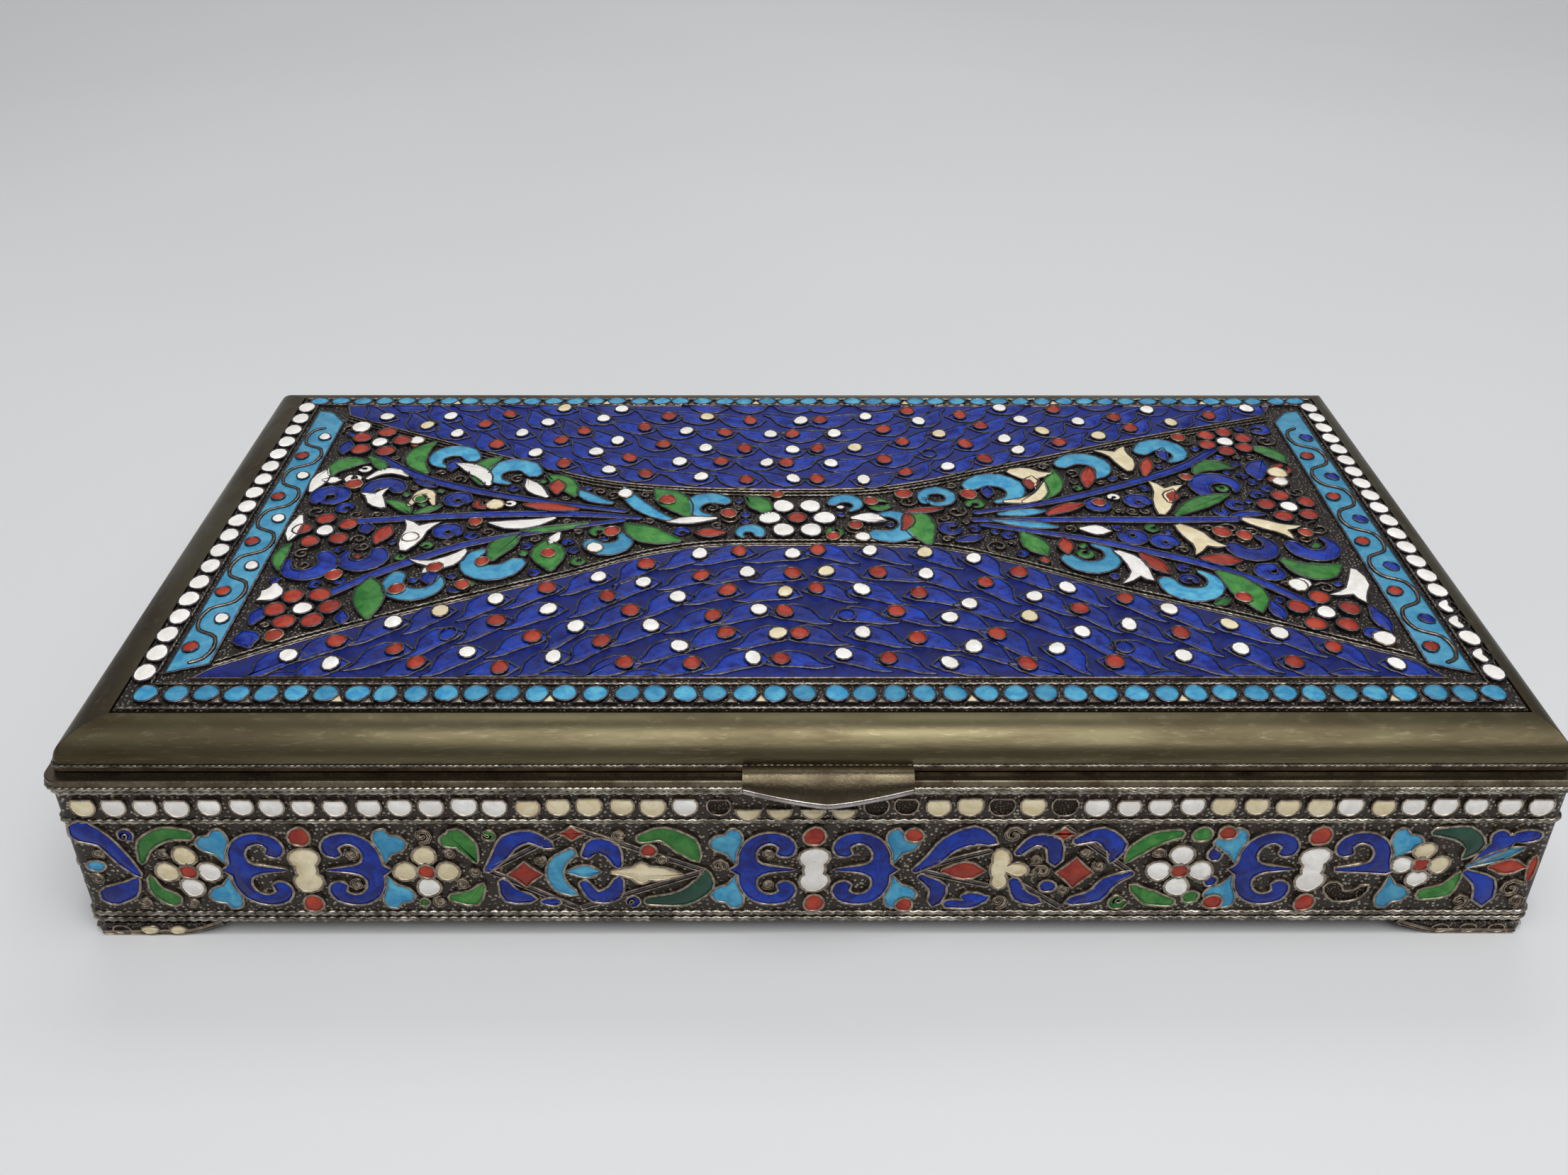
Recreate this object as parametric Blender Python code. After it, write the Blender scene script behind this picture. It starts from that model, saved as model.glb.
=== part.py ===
"""Low table box with filigree enamel: a tray body on four bracket feet and a hinged lid.

Metres, +Z up. The origin is on the table, under the centre of the body's rim. The front, with the
thumb-piece, faces -Y, and the hinge runs along X behind the back wall.
"""

import math

import bmesh
import bpy
from mathutils import Vector
from mathutils.geometry import delaunay_2d_cdt

# Body
BOX_LENGTH = 0.1650
BOX_WIDTH = 0.0900
RIM_TOP = 0.0230
CORNER_RADIUS = 0.0020
WALL = 0.0014
FLOOR = 0.0012
FLOOR_RECESS = 0.0004
RIM_BAND = 0.0014
RIM_OVERHANG = 0.0005
LIP_RISE = 0.0003
LIP_THICKNESS = 0.0008

# Raised ornament on the body's walls
STRING_WIRE = 0.0009
STRING_PROUD = 0.0004
DOT_BAND = 0.0032
DOT_PITCH = 0.0034
DOT_SIZE = 0.0023
CELL_RELIEF = 0.0004
MEDALLION_LENGTH = 0.0177
MEDALLION_PITCH = 0.0557
FLOWER_SIZE = 0.0066
FLOWER_FROM_TIP = 0.00475
LEAF_FROM_TIP = 0.0006

# Bracket feet
FOOT_HEIGHT = 0.0020
FOOT_ALONG_FRONT = 0.0150
FOOT_ALONG_SIDE = 0.0120
FOOT_CURVE = 0.0045
FOOT_THICKNESS = 0.0014
FOOT_TIP = 0.0003

# Lid
LID_SEAM = 0.0006
LID_INSET = 0.0010
LID_CORNER_RADIUS = 0.0012
LID_EDGE = 0.0007
LID_RISE = 0.0036
LID_BORDER = 0.0046
PANEL_OFF_CENTRE = 0.0010
LID_SHEET = 0.0010
PANEL_THICKNESS = 0.0012
PANEL_LEDGE = 0.0018
BORDER_BEAD = 0.0002
EDGE_SLOPE = 0.0006
EDGE_DOT_BAND = 0.0030
EDGE_DOT_PITCH = 0.0033
ROSETTE_SIZE = 0.0062
STEM_WIDTH = 0.0028

# Thumb-piece
THUMB_WIDTH = 0.0182
THUMB_OFF_CENTRE = 0.0016
THUMB_THICKNESS = 0.0008
THUMB_SEAT = 0.0001
THUMB_BEND = 0.0009
THUMB_LENGTH_AT_ENDS = 0.0008
THUMB_LENGTH_AT_MIDDLE = 0.0024
THUMB_DROOP = math.radians(55)

# Hinge
KNUCKLE_COUNT = 5
KNUCKLE_LENGTH = 0.0140
KNUCKLE_RADIUS = 0.0014
PIN_RADIUS = 0.0006
KNUCKLE_CLEAR = 0.0002
LEAF_THICKNESS = 0.0008
LEAF_HEIGHT = 0.0056
LID_LEAF_HEIGHT = 0.0008
ARM_THICKNESS = 0.0006
ARM_INSET = 0.0001
ARM_BELOW_AXIS = 0.0004

# Clearance left between two pieces that touch, and between pieces that turn on each other
FIT_GAP = 0.0003

# Facets along each curve, and the smallest corner that is still rounded
CORNER_STEPS = 3
OVOLO_STEPS = 6
KNUCKLE_SIDES = 12
FOOT_END_STEPS = 3
THUMB_STEPS = 8
THUMB_BEND_STEPS = 3
SMALLEST_RADIUS = 0.0001
MERGE_DISTANCE = 1e-7
MILLIMETRE = 0.001

# The body's sides are counted back, left, front, right
BACK = 0
FRONT = 2

# Heights that follow from the sizes above
LID_BOTTOM = RIM_TOP + LID_SEAM
BORDER_FOOT = LID_BOTTOM + LID_EDGE
LID_TOP = BORDER_FOOT + LID_RISE
LOWER_WIRES = (FOOT_HEIGHT + 0.5 * STRING_WIRE, FOOT_HEIGHT + 1.5 * STRING_WIRE)
UPPER_WIRE = RIM_TOP - RIM_BAND - 0.5 * STRING_WIRE
DOT_WIRE = UPPER_WIRE - DOT_BAND - STRING_WIRE
FRIEZE_BOTTOM = LOWER_WIRES[1] + 0.5 * STRING_WIRE
FRIEZE_TOP = DOT_WIRE - 0.5 * STRING_WIRE
FRIEZE_HEIGHT = FRIEZE_TOP - FRIEZE_BOTTOM
HINGE_Z = RIM_TOP + 0.5 * LID_SEAM
HINGE_Y = 0.5 * BOX_WIDTH + FIT_GAP + KNUCKLE_RADIUS + KNUCKLE_CLEAR


def material(name, colour, roughness, metallic):
    """A plain Principled material in the finish of one piece."""
    made = bpy.data.materials.new(name)
    made.use_nodes = True
    shader = made.node_tree.nodes["Principled BSDF"]
    shader.inputs["Base Color"].default_value = (*colour, 1.0)
    shader.inputs["Roughness"].default_value = roughness
    shader.inputs["Metallic"].default_value = metallic
    return made


def object_from(bm, name, finish, smooth_angle=None):
    """Turn a finished bmesh into a named object with its own material."""
    bmesh.ops.remove_doubles(bm, verts=bm.verts, dist=MERGE_DISTANCE)
    bmesh.ops.recalc_face_normals(bm, faces=bm.faces)
    mesh = bpy.data.meshes.new(name)
    bm.to_mesh(mesh)
    bm.free()
    if smooth_angle is not None:
        mesh.shade_smooth()
        mesh.set_sharp_from_angle(angle=smooth_angle)
    mesh.materials.append(finish)
    made = bpy.data.objects.new(name, mesh)
    bpy.context.scene.collection.objects.link(made)
    return made


def plan_ring(bm, half_x, half_y, radius, z, centre_x=0.0):
    """A rounded rectangle of vertices, anticlockwise from the right end of the back right corner."""
    radius = min(max(radius, SMALLEST_RADIUS), 0.9 * half_x, 0.9 * half_y)
    ring = []
    for corner, (sign_x, sign_y) in enumerate(((1, 1), (-1, 1), (-1, -1), (1, -1))):
        for step in range(CORNER_STEPS + 1):
            angle = math.pi / 2 * (corner + step / CORNER_STEPS)
            x = centre_x + sign_x * (half_x - radius) + radius * math.cos(angle)
            y = sign_y * (half_y - radius) + radius * math.sin(angle)
            ring.append(bm.verts.new((x, y, z)))
    return ring


def side_vertices(lower, upper, side):
    """The four corners of one long flat between two rings. The sides run back, left, front, right."""
    first = side * (CORNER_STEPS + 1) + CORNER_STEPS
    second = (first + 1) % len(lower)
    return lower[first], lower[second], upper[second], upper[first]


def join_rings(bm, lower, upper, open_sides=()):
    """Faces between two rings, leaving out the long flats that carry raised ornament."""
    left_out = [side * (CORNER_STEPS + 1) + CORNER_STEPS for side in open_sides]
    for i in range(len(lower)):
        if i in left_out:
            continue
        j = (i + 1) % len(lower)
        bm.faces.new((lower[i], lower[j], upper[j], upper[i]))


def oval(x, y, across, high, turn=0.0, sides=6):
    """An oval outline."""
    outline = []
    for k in range(sides):
        angle = 2 * math.pi * k / sides
        u = 0.5 * across * math.cos(angle)
        v = 0.5 * high * math.sin(angle)
        along = u * math.cos(turn) - v * math.sin(turn)
        up = u * math.sin(turn) + v * math.cos(turn)
        outline.append((x + along, y + up))
    return outline


def half_moon(x, y, size):
    """A dot flattened along its upper edge."""
    corners = ((-0.5, 0.40), (-0.34, -0.40), (0.34, -0.40), (0.5, 0.40))
    return [(x + size * u, y + size * v) for u, v in corners]


def stroke(path, widths):
    """The outline of a brush stroke that swells and thins along a path."""
    left = []
    right = []
    for k, (x, y) in enumerate(path):
        x0, y0 = path[max(k - 1, 0)]
        x1, y1 = path[min(k + 1, len(path) - 1)]
        length = math.hypot(x1 - x0, y1 - y0)
        nx = -(y1 - y0) / length
        ny = (x1 - x0) / length
        half = 0.5 * widths[k]
        left.append((x + half * nx, y + half * ny))
        right.append((x - half * nx, y - half * ny))
    return left + right[::-1]


def spiral_path(x, y, start_radius, end_radius, start, end, steps):
    """Points on a spiral about a centre, with its angles in degrees."""
    path = []
    for k in range(steps + 1):
        share = k / steps
        radius = start_radius + (end_radius - start_radius) * share
        angle = math.radians(start + (end - start) * share)
        path.append((x + radius * math.cos(angle), y + radius * math.sin(angle)))
    return path


def mirrored(outline, x, sign_x, sign_y):
    """An outline drawn to the right of and above zero, set about x and flipped by its signs."""
    return [(x + sign_x * u, sign_y * v) for u, v in outline]


def medallion(x, high):
    """Four scrolls about a waisted middle, with a dot above and below.

    It is drawn with a half-height of 1 and a half-length of 1.47, then stretched to its size.
    """
    long = 0.5 * MEDALLION_LENGTH / 1.47
    tall = 0.47 * high
    scroll = stroke(spiral_path(0.69, 0.40, 0.68, 0.32, -32, 185, 4), (0.53, 0.35, 0.29, 0.29, 0.24))
    outlines = []
    for side in (-1, 1):
        for sign in (-1, 1):
            outlines.append([(side * u, sign * v) for u, v in scroll])
    waisted = ((0.15, 0.0), (0.28, 0.26), (0.12, 0.54))
    right = [(u, -v) for u, v in waisted[:0:-1]] + list(waisted)
    outlines.append(right + [(-u, v) for u, v in right[::-1]])
    for sign in (-1, 1):
        outlines.append(oval(0.0, sign * 0.84, 0.38, 0.30, math.pi / 2, 5))
    return [[(x + u * long, v * tall) for u, v in outline] for outline in outlines]


def flower(x, y, size, petals, turn=0.0, sides=5):
    """Round petals standing clear of a small centre."""
    outlines = [oval(x, y, 0.22 * size, 0.22 * size, turn, 4)]
    for k in range(petals):
        angle = turn + 2 * math.pi * k / petals
        px = x + 0.33 * size * math.cos(angle)
        py = y + 0.33 * size * math.sin(angle)
        outlines.append(oval(px, py, 0.34 * size, 1.05 * size / petals, angle, sides))
    return outlines


def leaf_pair(x, high, side):
    """Two lobed leaves that lean away from a medallion's waist."""
    outlines = []
    for sign in (-1, 1):
        path = [(x, sign * 0.10 * high), (x + side * 0.05 * high, sign * 0.24 * high)]
        path.append((x + side * 0.02 * high, sign * 0.40 * high))
        outlines.append(stroke(path, [0.03 * high, 0.26 * high, 0.12 * high]))
    return outlines


def lozenge_panel(x, reach, high):
    """The short panel between two flowers: a lozenge between two pairs of wings."""
    outlines = [oval(x, 0.0, 0.72 * reach, 0.40 * high, 0.0, 4)]
    for side in (-1, 1):
        for sign in (-1, 1):
            wing = [(0.52 * reach, 0.05 * high), (0.98 * reach, 0.12 * high), (0.72 * reach, 0.42 * high)]
            outlines.append(mirrored(wing, x, side, sign))
    return outlines


def frieze_outlines(length, high, count, full):
    """Medallions at an even pitch, with leaves, flowers and lozenge panels between them on the front."""
    flower_from_centre = 0.5 * MEDALLION_LENGTH + FLOWER_FROM_TIP
    leaf_from_centre = 0.5 * MEDALLION_LENGTH + LEAF_FROM_TIP
    lozenge_reach = 0.5 * MEDALLION_PITCH - flower_from_centre - 0.5 * FLOWER_SIZE
    outlines = []
    for k in range(count):
        x = (k - 0.5 * (count - 1)) * MEDALLION_PITCH
        outlines += medallion(x, high)
        if not full:
            continue
        if k > 0:
            outlines += lozenge_panel(x - 0.5 * MEDALLION_PITCH, lozenge_reach, high)
        for side in (-1, 1):
            outlines += leaf_pair(x + side * leaf_from_centre, high, side)
            flower_x = x + side * flower_from_centre
            in_the_middle = abs(x) < 0.1 * MEDALLION_PITCH
            if in_the_middle or abs(flower_x) + 0.5 * FLOWER_SIZE > 0.5 * length:
                continue
            outlines += flower(flower_x, 0.0, FLOWER_SIZE, 4, math.pi / 4)
    return outlines


def dot_outlines(length, pitch, size):
    """A row of half-moon dots, evenly spaced between the corners."""
    count = max(int(length / pitch), 1)
    spacing = length / count
    return [half_moon((k + 0.5) * spacing - 0.5 * length, 0.0, size) for k in range(count)]


def anticlockwise(outline):
    """The outline's points in anticlockwise order."""
    turned = zip(outline, outline[1:] + outline[:1])
    area = sum(u0 * v1 - u1 * v0 for (u0, v0), (u1, v1) in turned)
    return outline if area > 0 else outline[::-1]


def raise_cells(bm, corners, outlines, relief):
    """Fill the flat between four vertices, with the outlines standing proud of it."""
    lower_left, lower_right, upper_right, upper_left = corners
    origin = (lower_left.co + upper_right.co) / 2
    along = (lower_right.co - lower_left.co).normalized()
    up = (upper_left.co - lower_left.co).normalized()
    proud = along.cross(up) * relief
    points = []
    for corner in corners:
        away = (corner.co - origin) / MILLIMETRE
        points.append(Vector((away.dot(along), away.dot(up))))
    polygons = [[0, 1, 2, 3]]
    for outline in outlines:
        first = len(points)
        points += [Vector((u / MILLIMETRE, v / MILLIMETRE)) for u, v in anticlockwise(outline)]
        polygons.append(list(range(first, len(points))))
    flat, _, triangles, _, _, inside = delaunay_2d_cdt(points, [], polygons, 0, 1e-4, True)
    ground = {}
    top = {}

    def vertex(store, index, lift):
        if index not in store:
            u, v = flat[index]
            place = origin + along * (u * MILLIMETRE) + up * (v * MILLIMETRE) + lift
            at_corner = [c for c in corners if (c.co - place).length < 1e-6]
            store[index] = at_corner[0] if at_corner else bm.verts.new(place)
        return store[index]

    raised_edges = set()
    for triangle, owners in zip(triangles, inside):
        if max(owners, default=0) > 0:
            bm.faces.new([vertex(top, i, proud) for i in triangle])
            for k, i in enumerate(triangle):
                raised_edges.add((i, triangle[(k + 1) % len(triangle)]))
        else:
            bm.faces.new([vertex(ground, i, Vector((0, 0, 0))) for i in triangle])
    for i, j in raised_edges:
        if (j, i) in raised_edges:
            continue
        foot_i = vertex(ground, i, Vector((0, 0, 0)))
        foot_j = vertex(ground, j, Vector((0, 0, 0)))
        bm.faces.new((foot_i, foot_j, top[j], top[i]))


def string_points(height):
    """Inset and height of the ridge that stands for one string of twisted wire."""
    face = RIM_OVERHANG
    half = 0.5 * STRING_WIRE
    return [(face, height - half), (face - STRING_PROUD, height), (face, height + half)]


def build_body(finish):
    """Tray of true wall thickness, with its rim, inner lip, wire strings and raised enamel cells."""
    inner = RIM_OVERHANG + WALL
    outside = [(inner, FOOT_HEIGHT + FLOOR_RECESS), (inner, FOOT_HEIGHT)]
    outside += string_points(LOWER_WIRES[0]) + string_points(LOWER_WIRES[1])[1:]
    frieze_ring = len(outside) - 1
    outside += string_points(DOT_WIRE)
    dot_ring = len(outside) - 1
    outside += string_points(UPPER_WIRE)
    outside += [(0.0, RIM_TOP - RIM_BAND), (0.0, RIM_TOP)]
    lip = inner - LIP_THICKNESS
    outside += [(lip, RIM_TOP), (lip, RIM_TOP + LIP_RISE), (inner, RIM_TOP + LIP_RISE)]
    outside += [(inner, FOOT_HEIGHT + FLOOR_RECESS + FLOOR)]
    bm = bmesh.new()
    rings = []
    for inset, z in outside:
        half_x = 0.5 * BOX_LENGTH - inset
        half_y = 0.5 * BOX_WIDTH - inset
        rings.append(plan_ring(bm, half_x, half_y, CORNER_RADIUS - inset, z))
    for k in range(len(rings) - 1):
        join_rings(bm, rings[k], rings[k + 1], range(4) if k in (frieze_ring, dot_ring) else ())
    bm.faces.new(rings[0][::-1])
    bm.faces.new(rings[-1])
    for side in range(4):
        across = side % 2 == 0
        length = (BOX_LENGTH if across else BOX_WIDTH) - 2 * CORNER_RADIUS
        frieze = frieze_outlines(length, FRIEZE_HEIGHT, 3 if across else 1, side == FRONT)
        raise_cells(bm, side_vertices(rings[frieze_ring], rings[frieze_ring + 1], side), frieze, CELL_RELIEF)
        dots = [] if side == BACK else dot_outlines(length, DOT_PITCH, DOT_SIZE)
        raise_cells(bm, side_vertices(rings[dot_ring], rings[dot_ring + 1], side), dots, CELL_RELIEF)
    return object_from(bm, "box_body", finish)


def foot_arm_points(reach):
    """Distance from the corner and underside height along the hollow end of one foot's arm."""
    points = []
    for k in range(FOOT_END_STEPS + 1):
        turn = math.pi / 2 * k / FOOT_END_STEPS
        low = (FOOT_HEIGHT - FIT_GAP - FOOT_TIP) * (1 - math.sin(turn)) ** 1.3
        points.append((reach - FOOT_CURVE * math.sin(turn), low))
    return points


def build_foot(name, sign_x, sign_y, finish):
    """An L-shaped bracket foot under one corner, each arm ending in a hollow curve."""
    outer_x = 0.5 * BOX_LENGTH - RIM_OVERHANG
    outer_y = 0.5 * BOX_WIDTH - RIM_OVERHANG
    radius = CORNER_RADIUS - RIM_OVERHANG
    inner_radius = max(radius - FOOT_THICKNESS, SMALLEST_RADIUS)
    centre_x = outer_x - radius
    centre_y = outer_y - radius
    outline = []
    for away, low in foot_arm_points(FOOT_ALONG_FRONT):
        outline.append(((outer_x - away, outer_y), (outer_x - away, centre_y + inner_radius), low))
    for k in range(CORNER_STEPS + 1):
        turn = math.pi / 2 * (1 - k / CORNER_STEPS)
        outside = (centre_x + radius * math.cos(turn), centre_y + radius * math.sin(turn))
        inside = (centre_x + inner_radius * math.cos(turn), centre_y + inner_radius * math.sin(turn))
        outline.append((outside, inside, 0.0))
    for away, low in foot_arm_points(FOOT_ALONG_SIDE)[::-1]:
        outline.append(((outer_x, outer_y - away), (centre_x + inner_radius, outer_y - away), low))
    top = FOOT_HEIGHT - FIT_GAP
    bm = bmesh.new()
    sections = []
    for outside, inside, low in outline:
        corners = ((outside, low), (outside, top), (inside, top), (inside, low))
        sections.append([bm.verts.new((x * sign_x, y * sign_y, z)) for (x, y), z in corners])
    for first, second in zip(sections, sections[1:]):
        for i in range(4):
            j = (i + 1) % 4
            bm.faces.new((first[i], first[j], second[j], second[i]))
    bm.faces.new(sections[0])
    bm.faces.new(sections[-1][::-1])
    return object_from(bm, name, finish)


def lid_ring(bm, inset, z):
    """One ring of the lid's frame, drawn off centre in step with how far in it lies."""
    half_x = 0.5 * BOX_LENGTH - LID_INSET - inset
    half_y = 0.5 * BOX_WIDTH - LID_INSET - inset
    shift = PANEL_OFF_CENTRE * min(inset / LID_BORDER, 1.0)
    return plan_ring(bm, half_x, half_y, LID_CORNER_RADIUS - inset, z, shift)


def build_lid_frame(finish):
    """Hollow frame of the lid: an upright edge, a mitred convex border and a ledge for the panel."""
    profile = [(0.0, LID_BOTTOM), (0.0, BORDER_FOOT)]
    for k in range(OVOLO_STEPS + 1):
        turn = math.pi / 2 * k / OVOLO_STEPS
        inset = BORDER_BEAD + (LID_BORDER - BORDER_BEAD) * (1 - math.cos(turn))
        profile.append((inset, BORDER_FOOT + LID_RISE * math.sin(turn)))
    seat = LID_TOP - PANEL_THICKNESS - FIT_GAP
    profile += [(LID_BORDER, seat), (LID_BORDER + PANEL_LEDGE, seat)]
    profile += [(LID_BORDER + PANEL_LEDGE, seat - LID_SHEET), (LID_BORDER - LID_SHEET, seat - LID_SHEET)]
    profile += [(LID_SHEET + EDGE_SLOPE, BORDER_FOOT), (LID_SHEET, LID_BOTTOM)]
    bm = bmesh.new()
    rings = [lid_ring(bm, inset, z) for inset, z in profile]
    for k in range(len(rings)):
        join_rings(bm, rings[k], rings[(k + 1) % len(rings)])
    return object_from(bm, "lid_frame", finish)


def edge_row(length, width, pitch):
    """Oval dots in the borders along the front and the back of the lid's panel."""
    count = max(int(length / pitch), 1)
    spacing = length / count
    y = 0.5 * width - 0.5 * EDGE_DOT_BAND
    outlines = []
    for sign in (-1, 1):
        for k in range(count):
            x = (k + 0.5) * spacing - 0.5 * length
            outlines.append(oval(x, sign * y, 0.72 * pitch, 0.62 * EDGE_DOT_BAND, 0.0, 4))
    return outlines


def side_row(length, width, pitch):
    """White dots in the borders along the two ends of the lid's panel."""
    run = width - 2 * EDGE_DOT_BAND
    count = max(int(run / pitch), 1)
    spacing = run / count
    x = 0.5 * length - 0.5 * EDGE_DOT_BAND
    outlines = []
    for sign in (-1, 1):
        for k in range(count):
            y = (k + 0.5) * spacing - 0.5 * run
            outlines.append(oval(sign * x, y, 0.8 * EDGE_DOT_BAND, 0.62 * pitch, 0.0, 4))
    return outlines


def panel_spray(length, width):
    """The bow-tie spray: a flower at the waist, stems that fan out, and three rosettes at each end."""
    waist_x = -0.015 * length
    waist_y = 0.028 * width
    outlines = flower(waist_x, waist_y, 1.3 * ROSETTE_SIZE, 6, 0.0, 4)
    rosette_rows = {-1: (-0.26, -0.01, 0.31), 1: (-0.27, 0.06, 0.31)}
    for side, rows in rosette_rows.items():
        for row in rows:
            x = side * (0.41 - 0.04 * abs(row)) * length
            outlines += flower(x, row * width, ROSETTE_SIZE, 6, 0.0, 4)
        for fan in (-0.36, -0.13, 0.13, 0.36):
            path = []
            for step in range(4):
                u = (0.07 + 0.075 * step) * length
                v = fan * width * (u / (0.34 * length)) ** 1.5
                path.append((waist_x + side * u, waist_y + v))
            outlines.append(stroke(path, [share * STEM_WIDTH for share in (0.3, 0.8, 1.0, 0.4)]))
    return outlines


def build_panel(finish):
    """Enamelled plate that lies on the frame's ledge, its filled cells standing proud."""
    half_x = 0.5 * BOX_LENGTH - LID_INSET - LID_BORDER - FIT_GAP
    half_y = 0.5 * BOX_WIDTH - LID_INSET - LID_BORDER - FIT_GAP
    bm = bmesh.new()
    rings = []
    for z in (LID_TOP - PANEL_THICKNESS, LID_TOP):
        ring = []
        for sign_x, sign_y in ((-1, -1), (1, -1), (1, 1), (-1, 1)):
            ring.append(bm.verts.new((PANEL_OFF_CENTRE + sign_x * half_x, sign_y * half_y, z)))
        rings.append(ring)
    for i in range(4):
        j = (i + 1) % 4
        bm.faces.new((rings[0][i], rings[0][j], rings[1][j], rings[1][i]))
    bm.faces.new(rings[0][::-1])
    length = 2 * half_x
    width = 2 * half_y
    outlines = edge_row(length, width, EDGE_DOT_PITCH)
    outlines += side_row(length, width, EDGE_DOT_PITCH)
    outlines += panel_spray(length, width)
    raise_cells(bm, rings[1], outlines, CELL_RELIEF)
    return object_from(bm, "lid_enamel_panel", finish)


def thumb_section(length):
    """Outline of the thumb-piece at one place: level over the rim, then bent down, as (out, z) points."""
    level = LID_BOTTOM + 0.5 * THUMB_THICKNESS + THUMB_SEAT
    path = [(FIT_GAP, level)]
    for k in range(THUMB_BEND_STEPS + 1):
        turn = THUMB_DROOP * k / THUMB_BEND_STEPS
        out = LID_INSET + THUMB_BEND * math.sin(turn)
        path.append((out, level - THUMB_BEND * (1 - math.cos(turn))))
    out, z = path[-1]
    path.append((out + length * math.cos(THUMB_DROOP), z - length * math.sin(THUMB_DROOP)))
    return stroke(path, [THUMB_THICKNESS] * len(path))


def build_thumb_piece(finish):
    """Drooping lip on the lid's front edge, its free edge bowed out to a blunt point."""
    lid_front = -(0.5 * BOX_WIDTH - LID_INSET)
    swell = THUMB_LENGTH_AT_MIDDLE - THUMB_LENGTH_AT_ENDS
    bm = bmesh.new()
    sections = []
    for k in range(THUMB_STEPS + 1):
        share = 2 * k / THUMB_STEPS - 1
        x = THUMB_OFF_CENTRE + 0.5 * THUMB_WIDTH * share
        outline = thumb_section(THUMB_LENGTH_AT_ENDS + swell * (1 - abs(share) ** 1.6))
        sections.append([bm.verts.new((x, lid_front - out, z)) for out, z in outline])
    for first, second in zip(sections, sections[1:]):
        for i in range(len(first)):
            j = (i + 1) % len(first)
            bm.faces.new((first[i], first[j], second[j], second[i]))
    bm.faces.new(sections[0][::-1])
    bm.faces.new(sections[-1])
    return object_from(bm, "thumb_piece", finish)


def tube_ring(bm, radius, x):
    """Vertices of one end of a tube on the hinge axis."""
    ring = []
    for k in range(KNUCKLE_SIDES):
        angle = 2 * math.pi * k / KNUCKLE_SIDES
        ring.append(bm.verts.new((x, radius * math.cos(angle), radius * math.sin(angle))))
    return ring


def rod(radius, x0, x1):
    """A round rod along the hinge axis."""
    bm = bmesh.new()
    left = tube_ring(bm, radius, x0)
    right = tube_ring(bm, radius, x1)
    for i in range(KNUCKLE_SIDES):
        j = (i + 1) % KNUCKLE_SIDES
        bm.faces.new((left[i], left[j], right[j], right[i]))
    bm.faces.new(left)
    bm.faces.new(right[::-1])
    return bm


def block(low, high):
    """A plain block in the hinge axis's own coordinates."""
    bm = bmesh.new()
    bmesh.ops.create_cube(bm, size=1.0)
    bmesh.ops.scale(bm, vec=Vector(high) - Vector(low), verts=bm.verts)
    bmesh.ops.translate(bm, vec=(Vector(low) + Vector(high)) / 2, verts=bm.verts)
    return bm


def hidden_tool(bm, name, place):
    """An object that only shapes another through a Boolean modifier."""
    mesh = bpy.data.meshes.new(name)
    bmesh.ops.recalc_face_normals(bm, faces=bm.faces)
    bm.to_mesh(mesh)
    bm.free()
    made = bpy.data.objects.new(name, mesh)
    made.location = place
    made.hide_render = True
    made.display_type = "WIRE"
    bpy.context.scene.collection.objects.link(made)
    return made


def add_boolean(target, tool, operation):
    """Cut or join one object with another."""
    modifier = target.modifiers.new(tool.name, "BOOLEAN")
    modifier.object = tool
    modifier.operation = operation
    modifier.solver = "EXACT"


def hinge_half(name, leaf_low, leaf_high, knuckles, arm_low, arm_high, place, finish):
    """A leaf with its knuckles brazed on by short arms, all bored for the pin."""
    total = KNUCKLE_COUNT * KNUCKLE_LENGTH
    half = object_from(block(leaf_low, leaf_high), name, finish, math.radians(35))
    half.location = place
    for k in knuckles:
        x0 = k * KNUCKLE_LENGTH - 0.5 * total + 0.5 * FIT_GAP
        x1 = x0 + KNUCKLE_LENGTH - FIT_GAP
        arm = block((x0 + ARM_INSET, *arm_low), (x1 - ARM_INSET, *arm_high))
        knuckle = rod(KNUCKLE_RADIUS, x0, x1)
        add_boolean(half, hidden_tool(arm, f"{name}_arm_{k}", place), "UNION")
        add_boolean(half, hidden_tool(knuckle, f"{name}_knuckle_{k}", place), "UNION")
    bore = rod(PIN_RADIUS + FIT_GAP, -total, total)
    add_boolean(half, hidden_tool(bore, f"{name}_bore", place), "DIFFERENCE")
    return half


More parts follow.
